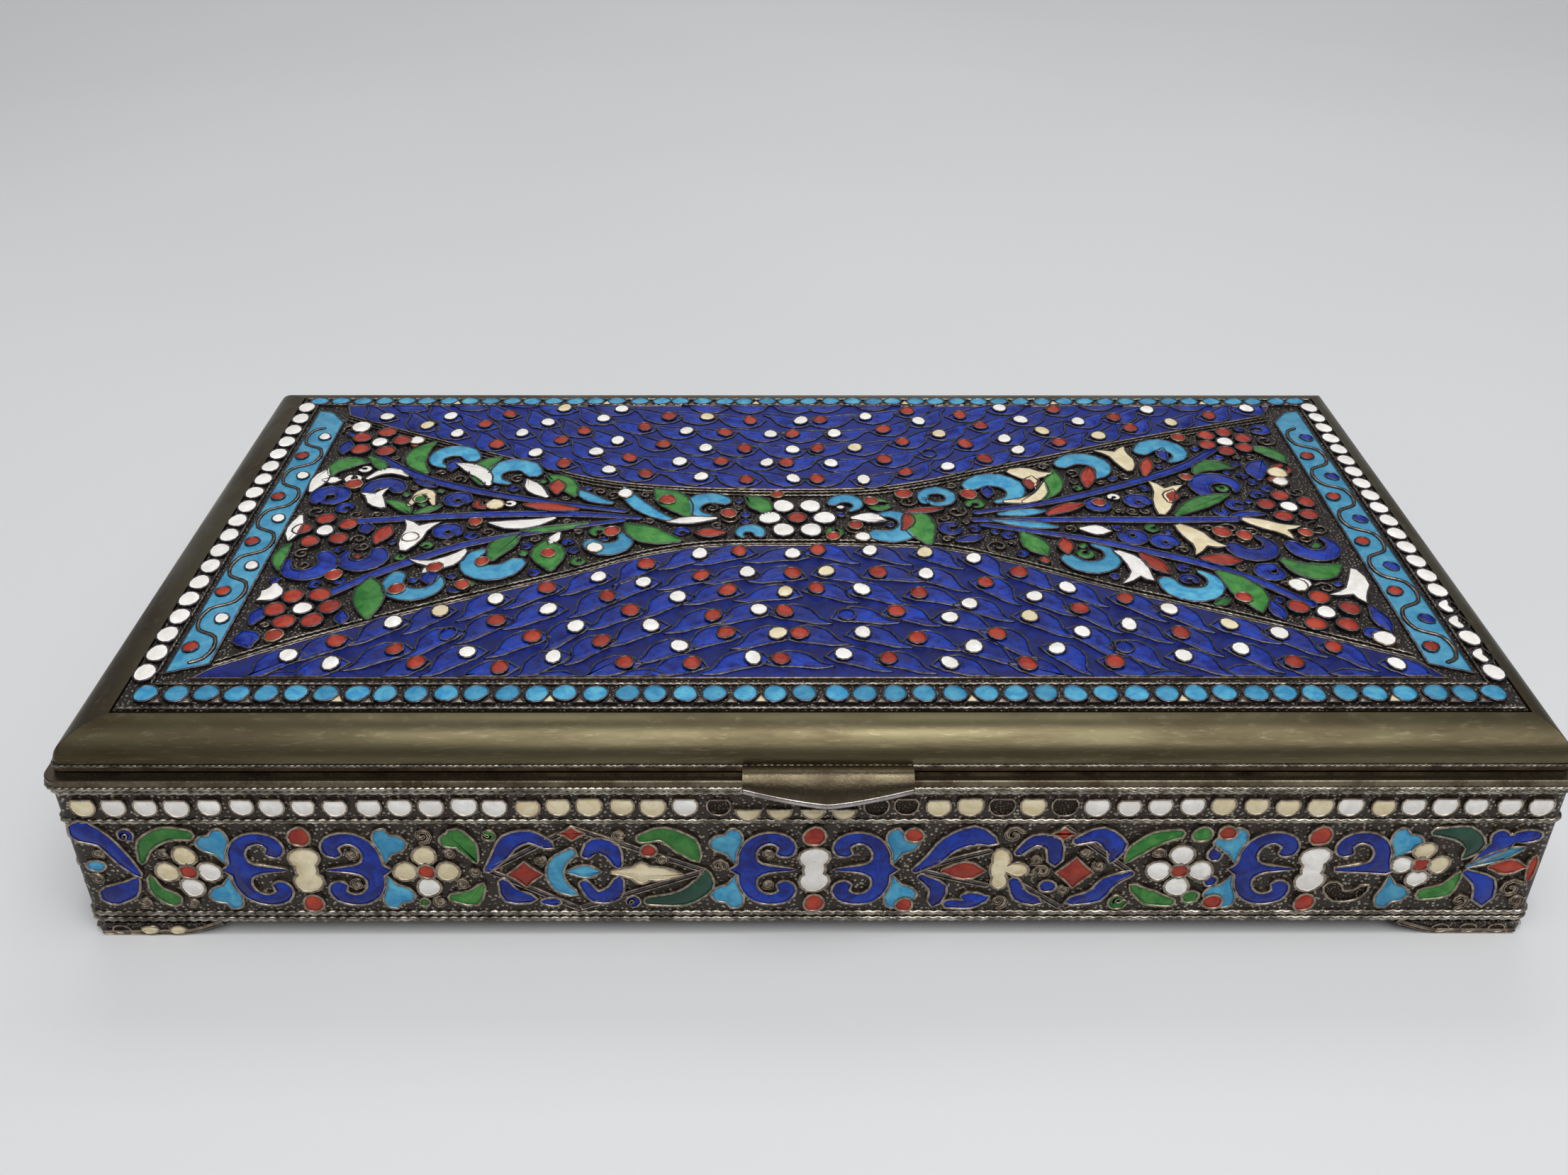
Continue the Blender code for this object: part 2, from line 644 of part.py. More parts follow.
def build_hinge(finish, pin_finish):
    """Tube hinge: a leaf under the rim at the back, a leaf on the lid's edge, and one pin."""
    place = (0.0, HINGE_Y, HINGE_Z)
    total = KNUCKLE_COUNT * KNUCKLE_LENGTH
    half_length = 0.5 * (total - FIT_GAP)
    wall_face = 0.5 * BOX_WIDTH + FIT_GAP - HINGE_Y
    leaf_top = -KNUCKLE_RADIUS - FIT_GAP
    leaf_low = (-half_length, wall_face, leaf_top - LEAF_HEIGHT)
    leaf_high = (half_length, wall_face + LEAF_THICKNESS, leaf_top)
    arm_low = (wall_face + ARM_INSET, leaf_top - ARM_THICKNESS)
    arm_high = (wall_face + KNUCKLE_RADIUS, -ARM_BELOW_AXIS)
    knuckles = range(0, KNUCKLE_COUNT, 2)
    hinge_half("hinge_body_half", leaf_low, leaf_high, knuckles, arm_low, arm_high, place, finish)
    lid_face = 0.5 * BOX_WIDTH - LID_INSET + FIT_GAP - HINGE_Y
    leaf_bottom = LID_BOTTOM + FIT_GAP - HINGE_Z
    leaf_top = leaf_bottom + LID_LEAF_HEIGHT
    leaf_low = (-half_length, lid_face, leaf_bottom)
    leaf_high = (half_length, lid_face + LEAF_THICKNESS, leaf_top)
    arm_low = (lid_face + ARM_INSET, leaf_bottom + ARM_INSET)
    arm_high = (0.0, leaf_top - ARM_INSET)
    knuckles = range(1, KNUCKLE_COUNT, 2)
    lid_half = hinge_half("hinge_lid_half", leaf_low, leaf_high, knuckles, arm_low, arm_high, place, finish)
    pin = object_from(rod(PIN_RADIUS, -0.5 * total, 0.5 * total), "hinge_pin", pin_finish, math.radians(35))
    pin.location = place
    return lid_half


for old in list(bpy.data.objects):
    bpy.data.objects.remove(old)

gilt = (0.36, 0.30, 0.20)
worn_gilt = (0.42, 0.36, 0.25)
build_body(material("body_silver_gilt", gilt, 0.42, 1.0))
for end, sign_y in (("front", -1), ("back", 1)):
    for hand, sign_x in (("left", -1), ("right", 1)):
        foot_name = f"foot_{end}_{hand}"
        build_foot(foot_name, sign_x, sign_y, material(foot_name + "_metal", gilt, 0.45, 1.0))
lid_pieces = [
    build_lid_frame(material("lid_silver_gilt", worn_gilt, 0.35, 1.0)),
    build_panel(material("panel_enamel", (0.03, 0.10, 0.45), 0.25, 0.0)),
    build_thumb_piece(material("thumb_silver_gilt", worn_gilt, 0.35, 1.0)),
]
hinge_brass = material("hinge_brass", (0.40, 0.33, 0.20), 0.45, 1.0)
pin_brass = material("pin_brass", (0.45, 0.38, 0.25), 0.35, 1.0)
lid_pieces.append(build_hinge(hinge_brass, pin_brass))

lid_axis = bpy.data.objects.new("lid_axis", None)
lid_axis.location = (0.0, HINGE_Y, HINGE_Z)
bpy.context.scene.collection.objects.link(lid_axis)
bpy.context.view_layer.update()
for piece in lid_pieces:
    piece.parent = lid_axis
    piece.matrix_parent_inverse = lid_axis.matrix_world.inverted()
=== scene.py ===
"""Looks of a low table box in filigree enamel: aged silver-gilt, twisted wire and small coloured cells."""

import math
import random

import bpy
import numpy as np
from mathutils import Matrix, Vector
from mathutils.geometry import delaunay_2d_cdt


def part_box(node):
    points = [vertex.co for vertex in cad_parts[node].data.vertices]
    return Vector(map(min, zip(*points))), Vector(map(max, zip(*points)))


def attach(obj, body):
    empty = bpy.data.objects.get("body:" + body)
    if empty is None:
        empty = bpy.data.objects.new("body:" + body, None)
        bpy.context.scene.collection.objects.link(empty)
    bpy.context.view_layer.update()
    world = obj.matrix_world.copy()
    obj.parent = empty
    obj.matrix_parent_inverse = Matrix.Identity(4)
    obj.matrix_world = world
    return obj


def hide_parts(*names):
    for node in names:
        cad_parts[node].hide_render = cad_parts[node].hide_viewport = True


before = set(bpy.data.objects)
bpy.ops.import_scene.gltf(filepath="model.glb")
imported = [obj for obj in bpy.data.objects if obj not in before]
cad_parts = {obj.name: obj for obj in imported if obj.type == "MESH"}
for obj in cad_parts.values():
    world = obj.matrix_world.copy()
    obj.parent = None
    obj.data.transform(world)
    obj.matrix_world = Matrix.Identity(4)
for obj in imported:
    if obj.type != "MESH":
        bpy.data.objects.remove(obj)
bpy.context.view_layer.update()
MM = 0.001

# The camera stands above the front edge, a little left of the middle, and looks down at the lid.
# It is a free-standing view with no tilt or shift beyond a hair of roll.
photo_width = 2212
focal_length_in_pixels = 2091
film_width = 36.0
camera_place = Vector((-3.79, -167.04, 125.29)) * MM
looking_down = math.radians(32.52)
turned_right = math.radians(0.30)
rolled = math.radians(0.15)

camera_data = bpy.data.cameras.new("camera")
camera_data.sensor_width = film_width
camera_data.lens = film_width * focal_length_in_pixels / photo_width
camera_data.clip_start = 0.01
camera = bpy.data.objects.new("camera", camera_data)
bpy.context.scene.collection.objects.link(camera)
level = math.cos(looking_down)
ahead = Vector((math.sin(turned_right) * level, math.cos(turned_right) * level, -math.sin(looking_down)))
right = Vector((math.cos(turned_right), -math.sin(turned_right), 0))
over = right.cross(ahead)
right, over = (
    math.cos(rolled) * right + math.sin(rolled) * over,
    math.cos(rolled) * over - math.sin(rolled) * right,
)
camera.matrix_world = Matrix.Translation(camera_place) @ Matrix((right, over, -ahead)).transposed().to_4x4()
bpy.context.scene.camera = camera


# The tray is raised from silver sheet 1.4 mm thick: floor, four walls, a plain rim band and a low lip inside
# it. The outer walls are stippled and blackened to show up the enamel, and the inside is gilt.
tray_low, tray_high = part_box("box_body")
half_length = tray_high.x / MM
half_width = tray_high.y / MM
tray_bottom = tray_low.z / MM
wall_inset = 0.5
wall = 1.4
lip = 0.8
lip_rise = 0.3
rim_band = 1.4
floor_top = 3.6
floor_recess = 0.4
corner_radius = 2.0
rim_top = tray_high.z / MM - lip_rise
blackened = (0.062, 0.054, 0.047)
stipple_light = (0.60, 0.55, 0.46)
aged_gilt = (0.155, 0.132, 0.090)
brown_tarnish = (0.060, 0.043, 0.026)
worn_bright = (0.62, 0.54, 0.38)
inside_gilt = (0.50, 0.40, 0.22)


def new_finish(name, roughness, metallic):
    """An empty node finish, with the values that are the same all over set on its shader."""
    made = bpy.data.materials.new(name)
    made.use_nodes = True
    shader = made.node_tree.nodes["Principled BSDF"]
    shader.inputs["Roughness"].default_value = roughness
    shader.inputs["Metallic"].default_value = metallic
    return made, made.node_tree, shader


def texture(tree, kind, scale, flat_stretch=1.0, **values):
    """A procedural texture fixed to the piece, in repeats for each millimetre, drawn out level if asked."""
    place = tree.nodes.new("ShaderNodeTexCoord")
    mapping = tree.nodes.new("ShaderNodeMapping")
    mapping.inputs["Scale"].default_value = (1 / flat_stretch, 1 / flat_stretch, 1)
    made = tree.nodes.new(kind)
    made.inputs["Scale"].default_value = scale / MM
    for key, value in values.items():
        made.inputs[key].default_value = value
    tree.links.new(place.outputs["Object"], mapping.inputs["Vector"])
    tree.links.new(mapping.outputs["Vector"], made.inputs["Vector"])
    return made


def ramp(tree, source, low, high, low_value, high_value):
    """Turn a texture into two colours, or two numbers, that change over between two of its values."""
    made = tree.nodes.new("ShaderNodeValToRGB")
    for element, place, value in zip(made.color_ramp.elements, (low, high), (low_value, high_value)):
        element.position = place
        element.color = (*value, 1) if isinstance(value, tuple) else (value, value, value, 1)
    tree.links.new(source, made.inputs["Fac"])
    return made.outputs["Color"]


def blend(tree, factor, first, second, way="MIX"):
    """Mix two colours, each a socket or a plain colour."""
    made = tree.nodes.new("ShaderNodeMix")
    made.data_type = "RGBA"
    made.blend_type = way
    for socket, value in ((made.inputs[0], factor), (made.inputs[6], first), (made.inputs[7], second)):
        if isinstance(value, bpy.types.NodeSocket):
            tree.links.new(value, socket)
        else:
            socket.default_value = (*value, 1) if isinstance(value, tuple) else value
    return made.outputs[2]


def add_bump(tree, shader, source, depth):
    """Roughen the surface by a texture, its depth in millimetres."""
    made = tree.nodes.new("ShaderNodeBump")
    made.inputs["Distance"].default_value = depth * MM
    tree.links.new(source, made.inputs["Height"])
    tree.links.new(made.outputs["Normal"], shader.inputs["Normal"])


def old_metal(
    name, base, tarnish, bright, roughness, patches=0.16, grain=3.5, depth=0.03, share=0.5, rub=0.3, drawn=1.0
):
    """Aged metal: tarnish in clouds, rubbed bright in flecks, with a fine grain and uneven gloss."""
    made, tree, shader = new_finish(name, roughness, 1.0)
    clouds = texture(tree, "ShaderNodeTexNoise", patches, drawn, Detail=6.0, Roughness=0.62)
    flecks = texture(tree, "ShaderNodeTexNoise", grain, drawn, Detail=3.0, Roughness=0.7)
    colour = ramp(tree, clouds.outputs["Fac"], share - 0.12, share + 0.12, tarnish, base)
    rubbed = ramp(tree, flecks.outputs["Fac"], 0.56, 0.80, 0.0, rub)
    colour = blend(tree, rubbed, colour, bright)
    tree.links.new(colour, shader.inputs["Base Color"])
    gloss = ramp(tree, clouds.outputs["Fac"], 0.3, 0.7, roughness + 0.14, max(roughness - 0.08, 0.05))
    tree.links.new(gloss, shader.inputs["Roughness"])
    add_bump(tree, shader, flecks.outputs["Fac"], depth)
    return made


def granular_ground(name, dark, light, coarse=1.9):
    """Blackened metal between the cells, pitted and sown with small bright grains."""
    made, tree, shader = new_finish(name, 0.5, 1.0)
    grains = texture(tree, "ShaderNodeTexVoronoi", coarse)
    clouds = texture(tree, "ShaderNodeTexNoise", 0.35, Detail=4.0)
    bright = ramp(tree, grains.outputs["Distance"], 0.12, 0.42, 1.0, 0.0)
    sown = ramp(tree, clouds.outputs["Fac"], 0.34, 0.60, 0.30, 1.0)
    colour = blend(tree, blend(tree, 1.0, bright, sown, "MULTIPLY"), dark, light)
    tree.links.new(colour, shader.inputs["Base Color"])
    add_bump(tree, shader, ramp(tree, grains.outputs["Distance"], 0.0, 0.6, 1.0, 0.0), 0.16)
    return made


def rounded_rectangle(half_x, half_y, radius, shift=0.0, steps=8):
    """Points round a rectangle with round corners, anticlockwise from the back right corner."""
    radius = max(radius, 0.1)
    points = []
    for corner, (sign_x, sign_y) in enumerate(((1, 1), (-1, 1), (-1, -1), (1, -1))):
        for step in range(steps + 1):
            turn = math.pi / 2 * (corner + step / steps)
            x = shift + sign_x * (half_x - radius) + radius * math.cos(turn)
            y = sign_y * (half_y - radius) + radius * math.sin(turn)
            points.append((x, y))
    return points


def make_piece(name, vertices, faces, finishes, which=None, smooth=35.0):
    """A mesh object from points in millimetres, smooth except across edges sharper than an angle."""
    mesh = bpy.data.meshes.new(name)
    mesh.from_pydata([Vector(v) * MM for v in vertices], [], faces)
    for made in finishes:
        mesh.materials.append(made)
    if which is not None:
        mesh.polygons.foreach_set("material_index", which)
    mesh.shade_smooth()
    mesh.set_sharp_from_angle(angle=math.radians(smooth))
    piece = bpy.data.objects.new(name, mesh)
    bpy.context.scene.collection.objects.link(piece)
    return piece


def lofted(name, rings, finishes, which, closed=False, smooth=35.0):
    """A skin through rings of points, its first and last rings filled or joined to each other."""
    count = len(rings[0])
    vertices = [point for ring in rings for point in ring]
    faces = []
    chosen = []
    for k in range(len(rings) - (0 if closed else 1)):
        low = k * count
        high = (k + 1) % len(rings) * count
        for i in range(count):
            j = (i + 1) % count
            faces.append((low + i, low + j, high + j, high + i))
            chosen.append(which[k])
    if not closed:
        faces.append(tuple(range(count))[::-1])
        faces.append(tuple(range(len(vertices) - count, len(vertices))))
        chosen += [which[0], which[-1]]
    return make_piece(name, vertices, faces, finishes, chosen, smooth)


inner_wall = wall_inset + wall
lip_inset = inner_wall - lip
soft = 0.12
tray_profile = (
    (inner_wall, tray_bottom + floor_recess, 1),
    (inner_wall, tray_bottom, 1),
    (wall_inset + soft, tray_bottom, 1),
    (wall_inset, tray_bottom + soft, 0),
    (wall_inset, rim_top - rim_band, 1),
    (soft, rim_top - rim_band, 1),
    (0.0, rim_top - rim_band + soft, 1),
    (0.0, rim_top - soft, 1),
    (soft, rim_top, 1),
    (lip_inset, rim_top, 1),
    (lip_inset, rim_top + lip_rise, 1),
    (inner_wall, rim_top + lip_rise, 2),
    (inner_wall, floor_top + 0.5, 2),
    (inner_wall + 0.5, floor_top, 2),
)


def tray_ring(inset, z):
    """One level ring of the tray, drawn in from its widest outline."""
    outline = rounded_rectangle(half_length - inset, half_width - inset, corner_radius - inset)
    return [(x, y, z) for x, y in outline]


ground_finish = granular_ground("stippled_ground", blackened, stipple_light)
rim_finish = old_metal("rim_gilt", aged_gilt, brown_tarnish, worn_bright, 0.36)
inside_finish = old_metal("inside_gilt", inside_gilt, aged_gilt, worn_bright, 0.34, 0.07, 1.5, 0.01)
tray = lofted(
    "tray",
    [tray_ring(inset, z) for inset, z, _ in tray_profile],
    (ground_finish, rim_finish, inside_finish),
    [zone for _, _, zone in tray_profile],
)
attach(tray, "box")
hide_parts("box_body")


# Four strings of two-strand twisted wire are soldered round the walls, two along the bottom and one on each
# side of the row of dots, and a finer one runs under the rim at the front and sides. They are rubbed silver
# on top and black in the twist.
string_heights = (tray_bottom + 0.45, tray_bottom + 1.35, 17.05, 21.15)
string_radius = 0.40
twist_length = 1.15
rim_string_radius = 0.26
rim_string_twist = 0.8
rim_string_rise = 0.35
turns_a_sample = 6
wire_silver = (0.42, 0.385, 0.315)
wire_dark = (0.10, 0.085, 0.065)
string_finish = old_metal(
    "twisted_wire", wire_silver, wire_dark, (0.95, 0.92, 0.85), 0.26, 0.5, 2.0, 0.01, 0.52, 0.55
)


def evenly(points, spacing, closed=True):
    """Points set at an even spacing along a run of straight pieces, with the direction at each."""
    ends = points + points[:1] if closed else points
    corners = [Vector(p) for p in ends]
    reach = [0.0]
    for a, b in zip(corners, corners[1:]):
        reach.append(reach[-1] + (b - a).length)
    count = max(int(round(reach[-1] / spacing)), 1)
    samples = []
    piece = 0
    for k in range(count if closed else count + 1):
        far = reach[-1] * k / count
        while piece < len(corners) - 2 and reach[piece + 1] < far:
            piece += 1
        step = corners[piece + 1] - corners[piece]
        place = corners[piece] + step * ((far - reach[piece]) / max(step.length, 1e-9))
        samples.append((place, step.normalized()))
    return samples


def twisted_wire(points, radius, closed=True, twist=twist_length):
    """Vertices and faces of a two-strand wire: a figure of eight that turns as it runs along."""
    samples = evenly(points, twist / turns_a_sample, closed)
    vertices = []
    faces = []
    sides = 8
    up = Vector((0, 0, 1))
    for k, (place, along) in enumerate(samples):
        out = along.cross(up).normalized()
        turn = math.pi * k / turns_a_sample
        for side in range(sides):
            angle = 2 * math.pi * side / sides
            reach = radius * (0.62 + 0.38 * abs(math.cos(angle - turn)))
            vertices.append(place + reach * (math.cos(angle) * out + math.sin(angle) * up))
    for k in range(len(samples) - (0 if closed else 1)):
        low = k * sides
        high = (k + 1) % len(samples) * sides
        for i in range(sides):
            j = (i + 1) % sides
            faces.append((low + i, high + i, high + j, low + j))
    if not closed:
        faces.append(tuple(range(sides)))
        faces.append(tuple(range(len(vertices) - sides, len(vertices)))[::-1])
    return vertices, faces


def wire_piece(name, runs, finishes):
    """One piece from several runs of twisted wire."""
    vertices = []
    faces = []
    for run_vertices, run_faces in runs:
        faces += [tuple(i + len(vertices) for i in face) for face in run_faces]
        vertices += run_vertices
    return make_piece(name, vertices, faces, finishes, smooth=80.0)


rim_outline = rounded_rectangle(half_length, half_width, corner_radius)
rim_line = sorted(point for point in rim_outline if point[1] < 0)
back_corner = half_width - corner_radius
rim_line = [(-half_length, back_corner)] + rim_line + [(half_length, back_corner)]
rim_path = [(x, y, rim_top - rim_band + rim_string_rise) for x, y in rim_line]
rim_run = twisted_wire(rim_path, rim_string_radius, False, rim_string_twist)
rim_string = wire_piece("rim_string", [rim_run], [string_finish])
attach(rim_string, "box")
for number, height in enumerate(string_heights):
    run = twisted_wire(tray_ring(wall_inset, height), string_radius)
    string = wire_piece(f"wall_string_{number + 1}", [run], [string_finish])
    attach(string, "box")


# The picture on the walls is made of closed cells: flat wire bent on edge and soldered to the wall, then
# filled with glass enamel, a little domed inside its wire. Some cells have lost their enamel. Where cells of
# two colours touch, one of them sits a hair higher than the other.
wire_height = 0.40
wire_width = 0.26
enamel_colours = {
    "cobalt": ((1, 17, 102), (6, 56, 168), 0.16),
    "turquoise": ((44, 134, 180), (90, 172, 198), 0.2),
    "white": ((224, 220, 213), (242, 240, 236), 0.25),
    "cream": ((208, 192, 152), (228, 217, 186), 0.28),
    "coral": ((142, 34, 18), (174, 64, 40), 0.22),
    "green": ((30, 104, 34), (74, 142, 62), 0.2),
    "dark_green": ((18, 62, 48), (38, 92, 68), 0.2),
}
overlap_tiers = {"low_wire": -0.09, "green": 0.05, "white": 0.10, "cream": 0.10, "coral": 0.14}
finish_number = {"wire": 0, "silver": 0, "bare": 1, "dark_wire": 2, "low_wire": 2}
cell_wire = old_metal("cell_wire", (0.40, 0.33, 0.25), (0.14, 0.11, 0.085), (0.85, 0.8, 0.7), 0.32, 1.2)
empty_cell = granular_ground("empty_cell", (0.035, 0.028, 0.022), (0.30, 0.24, 0.17), 3.0)
dark_wire = old_metal("dark_wire", (0.13, 0.12, 0.13), (0.05, 0.045, 0.05), (0.6, 0.58, 0.55), 0.34, 1.2)
cell_finishes = [cell_wire, empty_cell, dark_wire]


def paint(red, green, blue):
    """A colour read on the usual 0 to 255 scale, as the shader wants it."""
    shares = (red / 255, green / 255, blue / 255)
    return tuple(c / 12.92 if c < 0.043 else ((c + 0.055) / 1.055) ** 2.4 for c in shares)


def enamel(name, deep, pale, gloss, uneven=0.5):
    """Glass enamel, cloudier in places, with pinholes, and each cell a little lighter or darker."""
    made, tree, shader = new_finish(name, gloss, 0.0)
    shader.inputs["IOR"].default_value = 1.5
    shader.inputs["Specular IOR Level"].default_value = 0.3
    clouds = texture(tree, "ShaderNodeTexNoise", 0.5, Detail=6.0, Roughness=0.66, Distortion=0.6)
    pits = texture(tree, "ShaderNodeTexVoronoi", 1.7)
    dark = tuple(0.45 * c for c in deep)
    colour = ramp(tree, clouds.outputs["Fac"], 0.40, 0.64, deep, pale)
    shade = tree.nodes.new("ShaderNodeAttribute")
    shade.attribute_name = "shade"
    colour = blend(tree, ramp(tree, shade.outputs["Fac"], 0.0, 1.0, 0.0, uneven), colour, dark)
    colour = blend(tree, ramp(tree, pits.outputs["Distance"], 0.05, 0.12, 0.8, 0.0), colour, dark)
    tree.links.new(colour, shader.inputs["Base Color"])
    dullness = ramp(tree, clouds.outputs["Fac"], 0.3, 0.7, gloss, gloss + 0.22)
    tree.links.new(dullness, shader.inputs["Roughness"])
    add_bump(tree, shader, clouds.outputs["Fac"], 0.12)
    return made


for colour, (deep, pale, gloss) in enamel_colours.items():
    finish_number[colour] = len(cell_finishes)
    uneven = 0.12 if colour in ("white", "cream") else 0.5
    cell_finishes.append(enamel(f"{colour}_enamel", paint(*deep), paint(*pale), gloss, uneven))


def flowing(points, steps=3):
    """A smooth path through a few points."""
    path = []
    known = [np.array(p, float) for p in points]
    known = [2 * known[0] - known[1], *known, 2 * known[-1] - known[-2]]
    for a, b, c, d in zip(known, known[1:], known[2:], known[3:]):
        for k in range(steps):
            t = k / steps
            bend = 2 * a - 5 * b + 4 * c - d
            twist = 3 * b - a - 3 * c + d
            path.append(0.5 * (2 * b + (c - a) * t + bend * t**2 + twist * t**3))
    return path + [known[-2]]


def around(x, y, reach, angle):
    """The point at a reach and an angle from another point."""
    return x + reach * math.cos(angle), y + reach * math.sin(angle)


def turned(outline, x, y, angle):
    """An outline turned about zero, then moved."""
    c = math.cos(angle)
    s = math.sin(angle)
    return [(x + u * c - v * s, y + u * s + v * c) for u, v in outline]


def dot(x, y, wide, tall=None, turn=0.0, sides=12):
    """An oval outline, a little uneven as wire bent by hand is."""
    tall = tall or wide
    points = []
    for k in range(sides):
        angle = 2 * math.pi * k / sides
        reach = 0.5 + 0.022 * math.sin(2 * angle + 5.3 * x) + 0.018 * math.sin(3 * angle + 7.1 * y + x)
        points.append((reach * wide * math.cos(angle), reach * tall * math.sin(angle)))
    return turned(points, x, y, math.radians(turn))


def diamond(x, y, wide, tall):
    """A lozenge with hollow sides."""
    points = []
    for k in range(12):
        angle = math.pi * k / 6
        reach = 0.5 if k % 3 == 0 else 0.36
        points.append((x + reach * wide * math.cos(angle), y + reach * tall * math.sin(angle)))
    return points


def stroke(points, widths, steps=3):
    """The outline of a brush stroke along a smooth path, its ends round."""
    path = flowing(points, steps)
    marks = np.linspace(0, len(widths) - 1, len(path))
    halves = 0.5 * np.interp(marks, range(len(widths)), widths)
    cap = []
    left = []
    right_side = []
    for k, place in enumerate(path):
        along = path[min(k + 1, len(path) - 1)] - path[max(k - 1, 0)]
        along = along / np.hypot(*along)
        out = np.array((-along[1], along[0]))
        if k == 0:
            for turn in (50, 0, -50):
                turn = math.radians(turn)
                cap.append(place + halves[0] * (out * math.sin(turn) - along * math.cos(turn)))
        left.append(place + halves[k] * out)
        right_side.append(place - halves[k] * out)
        last = place + halves[k] * along
    return [tuple(p) for p in cap + right_side + [last] + left[::-1]]


def scroll(x, y, radius, bulb, start, sweep):
    """A scroll that starts in a round bulb, swells, and thins round an arc to a hooked tail."""
    points = []
    for k in range(7):
        angle = math.radians(start + sweep * (1.16 * k / 6 - 0.04))
        reach = radius * (1.02 + 0.10 * math.sin(math.pi * k / 6) - 0.10 * k / 6)
        points.append(around(x, y, reach, angle))
    return stroke(points, [bulb * share for share in (0.66, 0.84, 0.92, 0.84, 0.64, 0.42, 0.16)], 2)


def leaf(x0, y0, x1, y1, wide, bend=0.0):
    """A leaf from its stalk to its tip, widest past the middle, curved to its left by a share."""
    along = np.array((x1 - x0, y1 - y0))
    side = np.array((-along[1], along[0]))
    start = np.array((x0, y0))
    points = [start + along * t + side * bend * 4 * t * (1 - t) for t in (0, 0.25, 0.5, 0.75, 1)]
    return stroke(points, [wide * share for share in (0.25, 0.75, 1.0, 0.85, 0.15)], 2)


def anticlockwise(outline):
    """The outline in anticlockwise order."""
    turned = zip(outline, outline[1:] + outline[:1])
    area = sum(u0 * v1 - u1 * v0 for (u0, v0), (u1, v1) in turned)
    return outline if area > 0 else outline[::-1]


def joined(*outlines):
    """One outline round several that overlap."""
    points = []
    rings = []
    for outline in outlines:
        rings.append(list(range(len(points), len(points) + len(outline))))
        points += [Vector(p) for p in anticlockwise(outline)]
    flat, _, triangles, _, _, owners = delaunay_2d_cdt(points, [], rings, 1, 1e-5, True)
    edges = {(t[i], t[(i + 1) % 3]) for t, owner in zip(triangles, owners) if owner for i in range(3)}
    after = {a: b for a, b in edges if (b, a) not in edges}
    loops = []
    while after:
        start, place = after.popitem()
        loop = [start]
        while place != start and place in after:
            loop.append(place)
            place = after.pop(place)
        loops.append(loop)
    longest = max(loops, key=len)
    return [tuple(flat[i]) for i in longest]


def drawn_in(outline):
    """How far and which way each point of an outline can move inwards."""
    points = np.array(outline, float)
    step = np.roll(points, -1, 0) - points
    step /= np.maximum(np.hypot(*step.T), 1e-9)[:, None]
    back = np.roll(step, 1, 0)
    mean = step + back
    mean /= np.maximum(np.hypot(*mean.T), 1e-6)[:, None]
    inward = np.stack((-mean[:, 1], mean[:, 0]), 1)
    reach = 1 / np.maximum(np.abs((mean * step).sum(1)), 0.62)
    edge = np.roll(points, -1, 0) - points
    gap = points[None, :] - points[:, None]
    cross = inward[:, None, 0] * edge[None, :, 1] - inward[:, None, 1] * edge[None, :, 0]
    cross = np.where(np.abs(cross) < 1e-9, 1e-9, cross)
    far = (gap[..., 0] * edge[None, :, 1] - gap[..., 1] * edge[None, :, 0]) / cross
    share = (gap[..., 0] * inward[:, None, 1] - gap[..., 1] * inward[:, None, 0]) / cross
    hit = (far > 1e-3) & (share >= -1e-6) & (share <= 1 + 1e-6)
    room = np.where(hit, far, 99.0).min(1)
    return points, inward, reach, room


def spaced(outline, gap=0.09):
    """The outline without points that lie almost on the one before."""
    kept = []
    for point in outline:
        if not kept or math.dist(point, kept[-1]) > gap:
            kept.append(point)
    return kept if math.dist(kept[0], kept[-1]) > gap else kept[:-1]


def grown(outline, reach_out):
    """The outline moved outwards, by less where it faces itself."""
    points, outward, reach, room = drawn_in(anticlockwise(spaced(outline))[::-1])
    return (points + outward * np.minimum(reach_out * reach, 0.4 * room)[:, None])[::-1]


